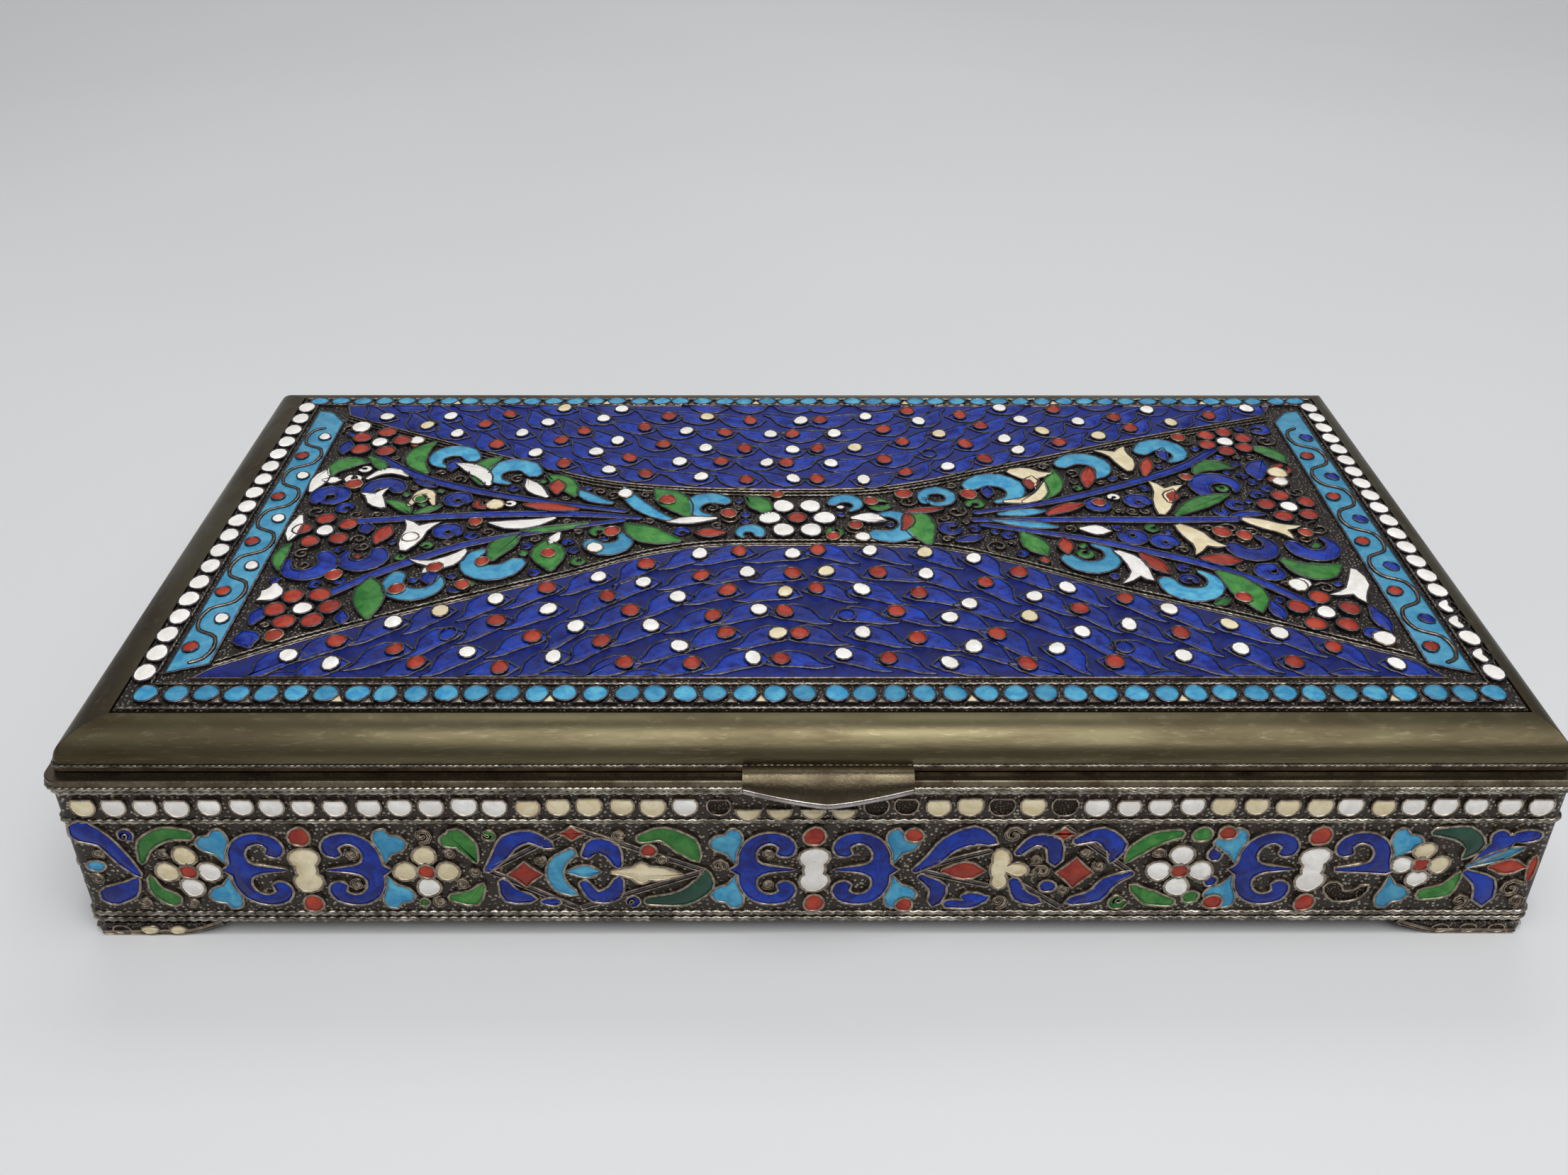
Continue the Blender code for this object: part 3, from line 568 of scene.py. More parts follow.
def set_cells(
    name, cells, place, body, height=wire_height, width=wire_width, seed=1, grow=0.16, wire="wire"
):
    """Wire cells and their enamel on one flat, where place turns (u, v, lift) into a point of the box."""
    chance = random.Random(seed)
    vertices = []
    faces = []
    which = []
    shades = []
    rim = finish_number[wire]
    for colour, outline in cells:
        points, inward, reach, room = drawn_in(grown(outline, grow))
        step = points - np.roll(points, 1, 0)
        gap = np.maximum(np.hypot(*step.T), 1e-9)
        along = np.arctan2(step[:, 1], step[:, 0])
        turn = (np.roll(along, -1) - along + math.pi) % (2 * math.pi) - math.pi
        allowed = np.minimum(0.42 * room, 0.4 * (gap + np.roll(gap, -1)) / np.maximum(turn, 0.02))
        for _ in range(8):
            allowed = np.minimum(allowed, np.roll(allowed, 1) + 0.45 * gap)
            allowed = np.minimum(allowed, np.roll(allowed, -1) + 0.45 * np.roll(gap, -1))
        count = len(points)
        shade = chance.random() ** 2
        fill = finish_number[colour]
        low = 0.10 if colour == "bare" else height - 0.14
        high = 0.06 if colour == "bare" else height - chance.uniform(0.0, 0.06)
        steps = (
            (0.0, 0.0, rim), (0.0, height - 0.04, rim), (0.05, height, rim), (width - 0.04, height, rim)
        )
        steps += ((width, height - 0.05, fill), (width + 0.04, low, fill), (width + 0.32, high, fill))
        first = len(vertices)
        tier = overlap_tiers.get(colour, 0.0)
        for inset, lift, _ in steps:
            moved = points + inward * np.minimum(inset * reach, allowed * inset / (width + 0.32))[:, None]
            vertices += [place(u, v, lift + (tier if lift else 0.0)) for u, v in moved]
        for k in range(len(steps) - 1):
            for i in range(count):
                j = (i + 1) % count
                base = first + k * count
                faces.append((base + i, base + j, base + count + j, base + count + i))
                which.append(steps[k][2])
                shades.append(shade)
        faces.append(tuple(range(len(vertices) - count, len(vertices))))
        which.append(fill)
        shades.append(shade)
    piece = make_piece(name, vertices, faces, cell_finishes, which, 50.0)
    tint = piece.data.attributes.new("shade", "FLOAT", "FACE")
    tint.data.foreach_set("value", shades)
    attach(piece, body)
    return piece


def on_wall(side, middle):
    """The flat of one wall: u along it, v up from the height of its middle, lift out from it."""
    turn = {"front": 0, "right": 1, "back": 2, "left": 3}[side] * math.pi / 2
    out_reach = (half_length if side in ("left", "right") else half_width) - wall_inset
    along = Vector((math.cos(turn), math.sin(turn), 0))
    out = Vector((math.sin(turn), -math.cos(turn), 0))
    return lambda u, v, lift: along * u + out * (out_reach + lift) + Vector((0, 0, middle + v))


def shifted(cells, x=0.0, y=0.0, flip=1, tip=1):
    """The same cells moved, and mirrored where flip or tip is -1."""
    return [(colour, [(x + flip * u, y + tip * v) for u, v in outline]) for colour, outline in cells]


def all_corners(cells):
    """Each cell four times, mirrored left to right and top to bottom."""
    return [cell for flip in (1, -1) for tip in (1, -1) for cell in shifted(cells, 0, 0, flip, tip)]


heart_half = [
    (9.4, 0.0), (8.5, 0.9), (8.4, 2.4), (7.6, 4.1), (6.1, 5.2), (4.3, 5.4), (2.7, 4.7), (2.0, 3.3),
    (2.4, 2.1), (3.4, 1.7), (4.2, 2.3), (4.0, 3.2), (4.8, 3.7), (5.8, 3.4), (6.4, 2.4), (6.2, 1.2),
    (5.0, 0.6), (2.5, 0.1),
]
wing = [
    (8.8, 0.9), (8.5, 2.6), (7.9, 4.2), (8.2, 5.6), (9.3, 5.9), (9.9, 5.1), (10.9, 4.9), (11.6, 3.9),
    (11.0, 2.8), (9.8, 2.3),
]


def medallion(lost=False, middle="white"):
    """Two cobalt hearts of paired scrolls back to back, a waisted white middle, and coral dots."""
    below = [(u, -v) for u, v in heart_half[:0:-1]]
    heart = [tuple(p) for p in flowing(heart_half + below, 2)]
    broken = [tuple(p) for p in flowing(heart_half, 2)] + [(2.6, -0.4), (6.4, -0.7), (8.4, -0.9)]
    cells = [("cobalt", [(-u, v) for u, v in heart]), ("cobalt", broken if lost else heart)]
    if lost:
        curl = stroke([(2.8, -2.9), (3.7, -4.1), (5.4, -4.0), (6.4, -3.0)], (2.0, 1.8, 1.6, 1.2))
        cells.append(("bare", curl))
    waist = joined(dot(0, 1.75, 3.5, 3.1), dot(0, -1.75, 3.4, 3.1), dot(0, 0, 2.5, 3.6))
    cells.append((middle, waist))
    cells.append(("coral", dot(0, 4.95, 2.5, 2.7)))
    cells.append(("coral", dot(0, -5.0, 2.3, 2.6)))
    cells += all_corners([("turquoise", [tuple(p) for p in flowing(wing, 2)])])
    return cells


def four_petals(x, y, petals, size=2.75, reach=2.35):
    """A flower of four round petals, named right, top, left, bottom, about a coral middle."""
    cells = [("coral", dot(x, y, 2.1, 2.1, 45, 8))]
    for k, colour in enumerate(petals):
        angle = math.pi / 2 * k
        cells.append((colour, dot(*around(x, y, reach, angle), size)))
    return cells


def covers(outline, u, v):
    """Whether an outline goes round a point."""
    points = np.array(outline)
    after = np.roll(points, -1, 0)
    crossing = (points[:, 1] > v) != (after[:, 1] > v)
    rise = np.where(crossing, after[:, 1] - points[:, 1], 1.0)
    at = points[:, 0] + (v - points[:, 1]) / rise * (after[:, 0] - points[:, 0])
    return np.count_nonzero(crossing & (at > u)) % 2 == 1


def fill_gaps(cells, edge_room, half_u, half_v, colours, seed):
    """Small curls and dots wherever the ground between the cells is still bare."""
    chance = random.Random(seed)
    taken = []
    for _, outline in cells:
        points = np.array(outline)
        after = np.roll(points, -1, 0)
        taken += [points + (after - points) * share for share in (0.0, 0.25, 0.5, 0.75)]
    taken = np.concatenate(taken)
    spots = [(u, v) for u in np.arange(-half_u, half_u, 0.9) for v in np.arange(-half_v, half_v, 0.9)]
    chance.shuffle(spots)
    made = []
    for smallest in (1.7, 1.25, 0.95):
        for u, v in spots:
            to_edge = edge_room(u, v)
            if to_edge < 0.5 * smallest:
                continue
            room = min(float(np.hypot(*(taken - (u, v)).T).min()), to_edge + 0.5)
            if room < smallest or any(covers(outline, u, v) for _, outline in cells):
                continue
            size = min(room, 2.3) - 0.42
            colour = chance.choices(tuple(colours), tuple(colours.values()))[0]
            turn = chance.uniform(0, 2 * math.pi)
            sweep = chance.choice((-1, 1))
            if colour == "bare" and size > 0.5:
                curl = []
                for k in range(10):
                    angle = turn + sweep * 7.2 * k / 9
                    reach = size * (0.22 + 0.86 * k / 9)
                    curl.append(around(u, v, reach, angle))
                colour = "wire"
                outline = stroke(curl, (0.22, 0.26), 1)
            elif size > 0.75:
                outline = scroll(u, v, 0.58 * size, 0.82 * size, math.degrees(turn), sweep * 250)
            else:
                outline = dot(u, v, 1.7 * size, 2.0 * size, math.degrees(turn), 8)
            made.append((colour, outline))
            taken = np.concatenate((taken, np.array(outline), [(u, v)]))
    return made


left_end = [
    ("cobalt", stroke([(-79.6, 5.6), (-77.6, 4.2), (-76.0, 1.3), (-74.9, -0.7)], (3.3, 2.1, 1.8, 0.9))),
    ("cobalt", stroke([(-78.6, -3.9), (-76.6, -3.0), (-75.3, -1.5)], (2.9, 2.6, 0.9))),
    ("turquoise", dot(-79.3, 0.6, 2.1, 1.7)),
    ("green", stroke([(-68.3, 5.2), (-70.7, 5.3), (-73.1, 3.8), (-74.0, 1.4)], (1.5, 2.0, 1.9, 0.8))),
    ("green", stroke([(-71.9, -4.4), (-73.3, -3.1), (-73.6, -1.2)], (2.2, 1.7, 0.8))),
]
left_panel = [
    (
        "green",
        joined(
            dot(-39.6, 4.3, 2.6, 2.2), stroke([(-39.0, 4.9), (-37.9, 3.4), (-37.2, 1.4)], (2.4, 2.3, 0.7))
        ),
    ),
    ("green", stroke([(-40.2, -4.2), (-38.2, -4.3), (-36.9, -2.4)], (1.3, 2.4, 0.8))),
    (
        "cobalt",
        stroke(
            [(-36.0, 0.0), (-34.4, 2.2), (-33.2, 4.1), (-31.0, 4.8), (-29.0, 3.6)],
            (0.8, 1.9, 2.3, 1.9, 1.5),
        ),
    ),
    ("cobalt", stroke([(-34.4, -2.0), (-33.7, -4.0), (-31.6, -4.4)], (1.3, 2.4, 1.4))),
    ("cobalt", dot(-29.3, -4.9, 2.2, 1.4)),
    ("coral", diamond(-31.9, -0.6, 3.9, 3.7)),
    (
        "turquoise",
        stroke(
            [(-26.6, 2.5), (-28.1, 1.1), (-28.6, -0.8), (-28.0, -2.6), (-26.8, -3.5)],
            (1.3, 1.9, 2.0, 1.9, 1.2),
        ),
    ),
    ("turquoise", leaf(-27.0, -0.3, -23.6, -0.3, 2.0)),
    ("cobalt", stroke([(-24.9, 2.2), (-23.9, 3.7), (-22.2, 3.0), (-21.5, 0.7)], (1.2, 1.8, 2.3, 1.1))),
    ("cobalt", stroke([(-25.4, -2.2), (-24.2, -4.2), (-22.3, -3.6), (-21.5, -1.5)], (1.3, 1.8, 2.3, 1.1))),
    ("coral", diamond(-26.3, 5.4, 2.8, 1.9)),
    ("cream", joined(leaf(-22.0, -0.3, -14.5, -0.7, 2.3), dot(-18.9, -0.5, 2.4, 3.3))),
    ("coral", dot(-18.0, 2.9, 1.9, 1.8)),
    ("green", stroke([(-18.6, 4.6), (-16.3, 5.2), (-13.9, 3.6), (-12.8, 1.8)], (1.4, 2.1, 2.9, 1.4))),
    (
        "dark_green",
        stroke([(-18.2, -4.8), (-14.6, -4.4), (-12.1, -2.4), (-11.8, -0.5)], (1.3, 2.3, 2.5, 1.0)),
    ),
]
right_panel = [
    (
        "cobalt",
        stroke(
            [(11.6, -0.1), (13.5, 1.5), (15.2, 3.7), (17.8, 4.9), (19.8, 4.1)], (0.8, 1.9, 2.4, 2.9, 1.5)
        ),
    ),
    ("cobalt", stroke([(12.3, -1.2), (14.2, -2.9), (13.9, -5.0)], (0.9, 2.1, 1.6))),
    (
        "cobalt",
        joined(
            stroke([(15.6, -5.3), (17.9, -5.3), (19.6, -4.4)], (1.4, 1.5, 1.0)), dot(18.2, -4.2, 2.6, 1.4)
        ),
    ),
    ("coral", leaf(14.8, -0.1, 19.1, -0.1, 2.7)),
    ("coral", dot(11.2, 5.1, 2.1)),
    ("coral", dot(10.5, -5.3, 2.0)),
    (
        "cream",
        joined(
            dot(21.0, 1.7, 2.2, 2.8), dot(22.9, 0.0, 2.5, 2.0), dot(21.0, -1.7, 2.0, 2.4),
            dot(20.8, 0, 2.0, 3.2),
        ),
    ),
    ("cobalt", stroke([(22.9, 2.5), (24.5, 4.2), (26.6, 3.7), (27.0, 1.2)], (1.0, 1.7, 2.1, 1.7))),
    ("cobalt", stroke([(22.7, -1.9), (23.6, -4.0), (25.4, -4.9)], (1.4, 1.9, 1.5))),
    ("cobalt", dot(26.5, -2.6, 1.9)),
    ("coral", diamond(29.3, -0.4, 4.2, 4.5)),
    ("coral", diamond(27.6, 5.3, 2.6, 1.6)),
    ("cobalt", stroke([(29.3, 4.2), (31.7, 5.0), (33.5, 3.3), (33.2, 1.3)], (1.3, 2.3, 2.6, 0.8))),
    ("cobalt", stroke([(35.6, -0.7), (33.3, -2.0), (32.0, -4.0), (29.4, -4.9)], (0.8, 1.9, 2.2, 1.4))),
    ("green", stroke([(40.2, 5.2), (37.8, 4.5), (35.8, 2.8), (35.0, 1.4)], (1.3, 2.1, 1.9, 0.8))),
    ("green", stroke([(40.5, -5.0), (38.2, -4.3), (36.2, -2.8)], (1.4, 2.3, 1.1))),
    ("green", dot(42.8, 5.1, 2.2)),
    ("green", dot(42.8, -4.2, 1.9)),
    ("coral", dot(45.5, 5.4, 2.0)),
    ("coral", dot(45.4, -4.9, 2.2)),
    ("cobalt", dot(44.6, 2.2, 1.7, 2.1)),
    ("cobalt", dot(44.7, -1.8, 1.6)),
]
right_end = [
    ("dark_green", stroke([(68.4, 5.4), (71.6, 5.1), (73.2, 3.4), (72.4, 1.8)], (1.0, 2.4, 2.2, 0.8))),
    ("green", stroke([(69.1, -3.8), (71.3, -3.2), (72.3, -1.0)], (1.8, 2.2, 0.9))),
    ("cobalt", joined(dot(75.6, 4.6, 2.2, 2.2), dot(78.6, 4.8, 3.2, 2.0), leaf(73.6, 1.0, 77.4, 5.0, 2.2))),
    ("turquoise", leaf(73.1, 0.4, 78.6, 3.1, 1.7)),
    ("cobalt", stroke([(73.2, -0.6), (75.5, -2.2), (76.0, -4.6)], (0.9, 2.5, 2.4))),
    ("coral", leaf(75.6, 0.4, 79.3, 0.4, 2.3)),
    ("coral", dot(80.2, 0.2, 1.0, 3.6)),
]
frieze_middle = 0.5 * (string_heights[1] + string_heights[2])
lozenge_lines = (
    ((-36.0, -0.2), (-26.3, 6.0)), ((-26.3, 6.0), (-11.8, -0.3)), ((-11.8, -0.3), (-26.3, -6.0)),
    ((-26.3, -6.0), (-36.0, -0.2)), ((12.4, 0.2), (19.6, 2.6)), ((12.4, -0.4), (19.6, -2.5)),
    ((23.4, 2.4), (27.8, 6.0)), ((27.8, 6.0), (35.6, -0.5)), ((35.6, -0.5), (28.4, -6.0)),
    ((28.4, -6.0), (23.2, -2.2)),
)
front_cells = [("low_wire", stroke([a, b], (0.5, 0.5), 1)) for a, b in lozenge_lines]
front_cells += left_end + left_panel + right_panel + right_end
front_cells += shifted(medallion(middle="cream"), -56.1)
front_cells += shifted(medallion(), 0.3)
front_cells += shifted(medallion(lost=True), 55.8)
front_cells += four_petals(-69.2, -0.2, ("white", "cream", "cream", "white"))
front_cells += four_petals(-42.8, -0.2, ("cream", "cream", "cream", "white"))
front_cells += four_petals(41.0, -0.2, ("white", "white", "white", "white"), 2.85)
front_cells += four_petals(67.7, 0.7, ("cream", "cream", "white", "white"), 2.5, 2.05)
frieze_fill = {"bare": 14, "cobalt": 1, "green": 1}


def fill_frieze(cells, half, seed):
    """The cells of one wall with its gaps filled."""
    return cells + fill_gaps(
        cells, lambda u, v: min(6.0 - abs(v), half - abs(u)), half, 5.8, frieze_fill, seed
    )


front_cells = fill_frieze(front_cells, half_length - corner_radius, 45)
set_cells(
    "front_frieze", front_cells, on_wall("front", frieze_middle), "box", width=0.3, seed=3
)


# The row of dots under the rim is cut the same way: half-round cells in white and cream enamel. On the
# front a few are empty, and those behind the thumb-piece are worn down to their lower edge.
dot_row_middle = 0.5 * (string_heights[2] + string_heights[3])
dot_pitch = 3.36
dot_width = 2.62
cream_runs = ((-82.0, -75.5), (-34.0, -14.0), (11.5, 25.0), (42.5, 55.5), (59.5, 62.5))
empty_runs = ((-10.6, -7.9), (4.4, 12.0), (18.3, 21.9), (25.5, 28.8))
worn_run = (-7.8, 4.3)


def half_moon(x, y, size, worn=False):
    """A dot cut flat along its top, or only the foot of one."""
    points = []
    for k in range(9):
        angle = math.pi + math.pi * k / 8
        points.append((x + 0.5 * size * math.cos(angle), y + 0.1 * size + 0.5 * size * math.sin(angle)))
    upper = [(0.5, 0.1)] if worn else [(0.49, 0.27), (0.38, 0.44)]
    points += [(x + u * size, y + v * size) for u, v in upper]
    return points + [(x - u * size, y + v * size) for u, v in upper[::-1]]


def row_of_dots(half, detailed, seed):
    """Dots at an even pitch along one wall, with some cream ones, and on the front some lost."""
    chance = random.Random(seed)
    count = int(2 * half / dot_pitch)
    cells = []
    for k in range(count):
        x = (k + 0.5 - 0.5 * count) * 2 * half / count
        inside = [any(a <= x <= b for a, b in runs) for runs in (cream_runs, empty_runs, (worn_run,))]
        cream, empty, worn = inside if detailed else (chance.random() < 0.3, chance.random() < 0.04, False)
        colour = "bare" if empty else "cream" if cream or worn else "white"
        size = dot_width * chance.uniform(0.92, 1.04)
        drop = -0.55 if worn else chance.uniform(-0.12, 0.12)
        cells.append((colour, half_moon(x + chance.uniform(-0.15, 0.15), drop, size, worn)))
    return cells


long_half = half_length - corner_radius
short_half = half_width - corner_radius
for side, half in (("front", long_half), ("right", short_half), ("back", long_half), ("left", short_half)):
    cells = row_of_dots(half, side == "front", 11)
    row_place = on_wall(side, dot_row_middle)
    set_cells(f"{side}_dot_row", cells, row_place, "box", height=0.34, width=0.2)


# The other three walls carry the same work, laid out more plainly: medallions at an even pitch, with
# flowers and lozenge panels between them on the long back wall and one medallion on each short wall.
panel_half = [
    ("cobalt", stroke([(10.3, 0.3), (8.7, 2.2), (7.0, 4.1), (4.8, 4.8)], (0.8, 1.9, 2.3, 1.5))),
    ("turquoise", stroke([(4.6, 1.8), (5.4, 3.0), (3.3, 3.6)], (1.4, 1.7, 1.2))),
]
lozenge_panel = all_corners(panel_half) + [("coral", diamond(0, 0, 4.6, 4.2))]
lozenge_panel += [("cream", leaf(side * 3.2, 0, side * 7.4, 0, 2.1)) for side in (-1, 1)]
crescents = [
    ("green", stroke([(-0.4, 5.2), (2.0, 4.7), (3.9, 3.0), (4.5, 1.2)], (1.3, 2.0, 1.9, 0.7))),
    ("green", stroke([(-0.2, -5.0), (2.1, -4.4), (4.0, -2.7)], (1.4, 2.1, 1.0))),
]
plain_flower = four_petals(0, 0, ("white", "cream", "white", "cream"))
flower_from_medallion = 13.3
panel_from_medallion = 30.5
back_cells = []
for x in (-55.8, 0.0, 55.8):
    back_cells += shifted(medallion(), x)
for x in (-27.9, 27.9):
    back_cells += shifted(lozenge_panel, x)
for x in (-55.8, 55.8):
    for side in (-1, 1):
        back_cells += shifted(plain_flower, x + side * flower_from_medallion)
        back_cells += shifted(crescents, x + side * flower_from_medallion, 0, side)
back_cells = fill_frieze(back_cells, half_length - corner_radius, 46)
set_cells("back_frieze", back_cells, on_wall("back", frieze_middle), "box", seed=5)
for side in ("left", "right"):
    end_cells = medallion()
    for way in (-1, 1):
        end_cells += shifted(plain_flower, way * flower_from_medallion)
        end_cells += shifted(crescents, way * flower_from_medallion, 0, way)
        end_cells += shifted(lozenge_panel, way * panel_from_medallion)
    end_cells = fill_frieze(end_cells, half_width - corner_radius, 47)
    set_cells(f"{side}_frieze", end_cells, on_wall(side, frieze_middle), "box", seed=7)


# Four bracket feet are sawn from sheet and soldered under the corners, their inner ends hollowed. A wire
# follows each hollow end, and the long sides have three small oval cells over each foot, most of them empty.
foot_height = 1.7
foot_front_reach = 15.0
foot_side_reach = 12.0
foot_curve = 4.5
foot_dot_places = (-78.9, -75.6, -72.4)
foot_wire = (0.34, 0.34)
foot_finish = granular_ground("foot_silver", blackened, stipple_light, 2.6)


def dress(node, finish):
    """Give a plain solid of the frame one finish."""
    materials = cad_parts[node].data.materials
    materials.clear()
    materials.append(finish)


for end in ("front", "back"):
    for hand in ("left", "right"):
        dress(f"foot_{end}_{hand}", foot_finish)
for side, half, reach in (
    ("front", half_length, foot_front_reach),
    ("back", half_length, foot_front_reach),
    ("left", half_width, foot_side_reach),
    ("right", half_width, foot_side_reach),
):
    cells = []
    sole = 0.42 - foot_height / 2
    for hand in (-1, 1):
        corner = hand * (half - wall_inset)
        edge = []
        for k in range(6):
            turn = math.pi / 2 * k / 5
            low = (foot_height - 0.25) * (1 - math.sin(turn)) ** 1.3
            along = corner - hand * (reach - foot_curve * math.sin(turn) - wall_inset)
            edge.append((along, low + sole))
        cells.append(("wire", stroke(edge, foot_wire, 2)))
        inner_end = corner - hand * (reach - foot_curve - wall_inset)
        cells.append(("wire", stroke([(inner_end, sole), (corner - hand * 1.2, sole)], foot_wire, 1)))
        for k, x in enumerate(foot_dot_places):
            if side in ("front", "back"):
                colour = "bare" if k == 0 or hand > 0 or side == "back" else "cream"
                cells.append((colour, dot(-hand * x, 0.0, 1.8, 1.15)))
    set_cells(
        f"{side}_foot_wires", cells, on_wall(side, foot_height / 2), "box",
        height=0.22, width=0.2, seed=9,
    )


# The lid's border is a convex moulding of thin sheet, mitred at the corners, over an upright edge; a ledge
# inside it carries the enamelled plate. Its silver-gilt is worn to a brown patina with brighter ridges.
lid_low, lid_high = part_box("lid_frame")
lid_half_length = lid_high.x / MM
lid_half_width = lid_high.y / MM
lid_bottom = lid_low.z / MM
lid_top = lid_high.z / MM
lid_edge = 0.7
border_foot = lid_bottom + lid_edge
border_width = 4.6
border_bead = 0.2
border_corner = 1.2
panel_shift = 1.0
plate_thickness = 1.2
seat = lid_top - plate_thickness - 0.3
ledge = 1.8
sheet = 1.0
moulding_steps = 14


def lid_ring(inset, z):
    """One ring of the lid's border, drawn off centre in step with how far in it lies."""
    shift = panel_shift * min(inset / border_width, 1.0)
    outline = rounded_rectangle(
        lid_half_length - inset, lid_half_width - inset, border_corner - inset, shift
    )
    return [(x, y, z) for x, y in outline]


border_profile = [(0.0, lid_bottom, 2), (0.0, border_foot, 0)]
for k in range(moulding_steps + 1):
    turn = math.pi / 2 * k / moulding_steps
    inset = border_bead + (border_width - border_bead) * (1 - math.cos(turn))
    border_profile.append((inset, border_foot + (lid_top - border_foot) * math.sin(turn), 0))
border_profile += [
    (border_width, seat, 1),
    (border_width + ledge, seat, 1),
    (border_width + ledge, seat - sheet, 1),
    (border_width - sheet, seat - sheet, 1),
    (sheet + 0.6, border_foot, 1),
    (sheet, lid_bottom, 1),
]
border_finish = old_metal(
    "border_patina", (0.124, 0.106, 0.060), (0.070, 0.053, 0.030), (0.26, 0.23, 0.15), 0.37, 0.35, 4.0,
    0.012, 0.46, 0.5, 9.0
)
edge_brown = old_metal(
    "edge_brown", (0.090, 0.060, 0.038), (0.045, 0.030, 0.020), (0.26, 0.20, 0.13), 0.34, 0.4
)
border = lofted(
    "lid_border",
    [lid_ring(inset, z) for inset, z, _ in border_profile],
    (border_finish, inside_finish, edge_brown),
    [zone for _, _, zone in border_profile],
    closed=True,
    smooth=30.0,
)
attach(border, "lid")
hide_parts("lid_frame")
worn_string = old_metal(
    "worn_string", (0.20, 0.18, 0.15), (0.05, 0.043, 0.035), (0.8, 0.77, 0.7), 0.3, 0.5, 2.0, 0.01, 0.5, 0.4
)
bead_run = twisted_wire(lid_ring(0.1, border_foot - 0.1), 0.2, twist=0.7)
bead_line = wire_piece("border_bead_line", [bead_run], [worn_string])
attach(bead_line, "lid")


# The lid's picture lies on a plate of its own, 1.2 mm thick, dropped into the border. Fine twisted wires
# frame it, and a granular blackened ground shows wherever there is no enamel.
plate_low, plate_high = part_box("lid_enamel_panel")
plate_half_length = (plate_high.x - plate_low.x) / 2 / MM
plate_half_width = (plate_high.y - plate_low.y) / 2 / MM
plate_ring = rounded_rectangle(plate_half_length, plate_half_width, 0.2, panel_shift, 2)
plate_finish = granular_ground("panel_ground", (0.046, 0.040, 0.036), (0.32, 0.29, 0.24), 2.1)
plate = lofted(
    "panel_plate",
    [[(x, y, z) for x, y in plate_ring] for z in (lid_top - plate_thickness, lid_top)],
    (plate_finish, inside_finish),
    (1, 0),
)
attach(plate, "lid")
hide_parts("lid_enamel_panel")
panel_wire_radius = 0.24
panel_wire_seat = 0.12
panel_wire_twist = 0.9
wire_lines = [
    [(-76.2, -38.75), (76.2, -38.75)],
    [(-73.9, -34.35), (73.9, -34.35)],
    [(-76.2, 38.8), (76.2, 38.8)],
    [(-73.9, 36.75), (73.9, 36.75)],
    [(-74.1, -34.3), (-74.1, 36.7)],
    [(74.1, -34.3), (74.1, 36.7)],
]


def on_panel(base=0.0):
    """The top of the plate: u to the right, v to the back, lift up from a base."""
    return lambda u, v, lift: Vector((panel_shift + u, v, lid_top + base + lift))


panel_runs = []
for line in wire_lines:
    points = [on_panel()(u, v, panel_wire_seat) for u, v in line]
    panel_runs.append(twisted_wire(points, panel_wire_radius, False, panel_wire_twist))


# The blue field is two beds of cobalt enamel, behind and before the spray. Comma-shaped wire cells lie in
# flowing rows that follow the spray's edge, each with a white or coral dot at its head.
upper_edge = [
    (-68.4, 32.8), (-60, 28.2), (-50, 23.0), (-40, 18.0), (-30, 13.0), (-20, 10.9), (-8, 10.0),
    (6, 10.2), (14, 12.0), (22, 15.2), (32, 19.2), (42, 23.4), (52, 27.2), (60, 30.0), (67.8, 32.8)
]
lower_edge = [
    (-68.4, -31.4), (-60, -26.2), (-50, -21.0), (-40, -16.2), (-30, -11.6), (-22, -7.4), (-14, -5.0),
    (-4, -4.6), (8, -4.8), (17, -5.8), (26, -9.6), (36, -15.0), (46, -19.4), (56, -24.2), (67.8, -30.0)
]
field_top = 36.3
field_bottom = -33.5
field_half = 69.0
row_spacing = 4.6
comma_pitch = 6.3
bed_lift = 0.16
finish_number["bed"] = len(cell_finishes)
cell_finishes.append(enamel("bed_enamel", paint(2, 13, 84), paint(8, 38, 132), 0.34))
finish_number["sky_bed"] = len(cell_finishes)
cell_finishes.append(enamel("sky_bed_enamel", paint(46, 126, 164), paint(82, 152, 180), 0.25))
edge_paths = {True: np.array(flowing(upper_edge, 4)), False: np.array(flowing(lower_edge, 4))}


def height_of(edge, x):
    """Height of an edge curve at x, and its slope there."""
    path = edge_paths[edge is upper_edge]
    y = float(np.interp(x, path[:, 0], path[:, 1]))
    slope = float(np.interp(x + 2, path[:, 0], path[:, 1]) - np.interp(x - 2, path[:, 0], path[:, 1])) / 4
    return y, slope


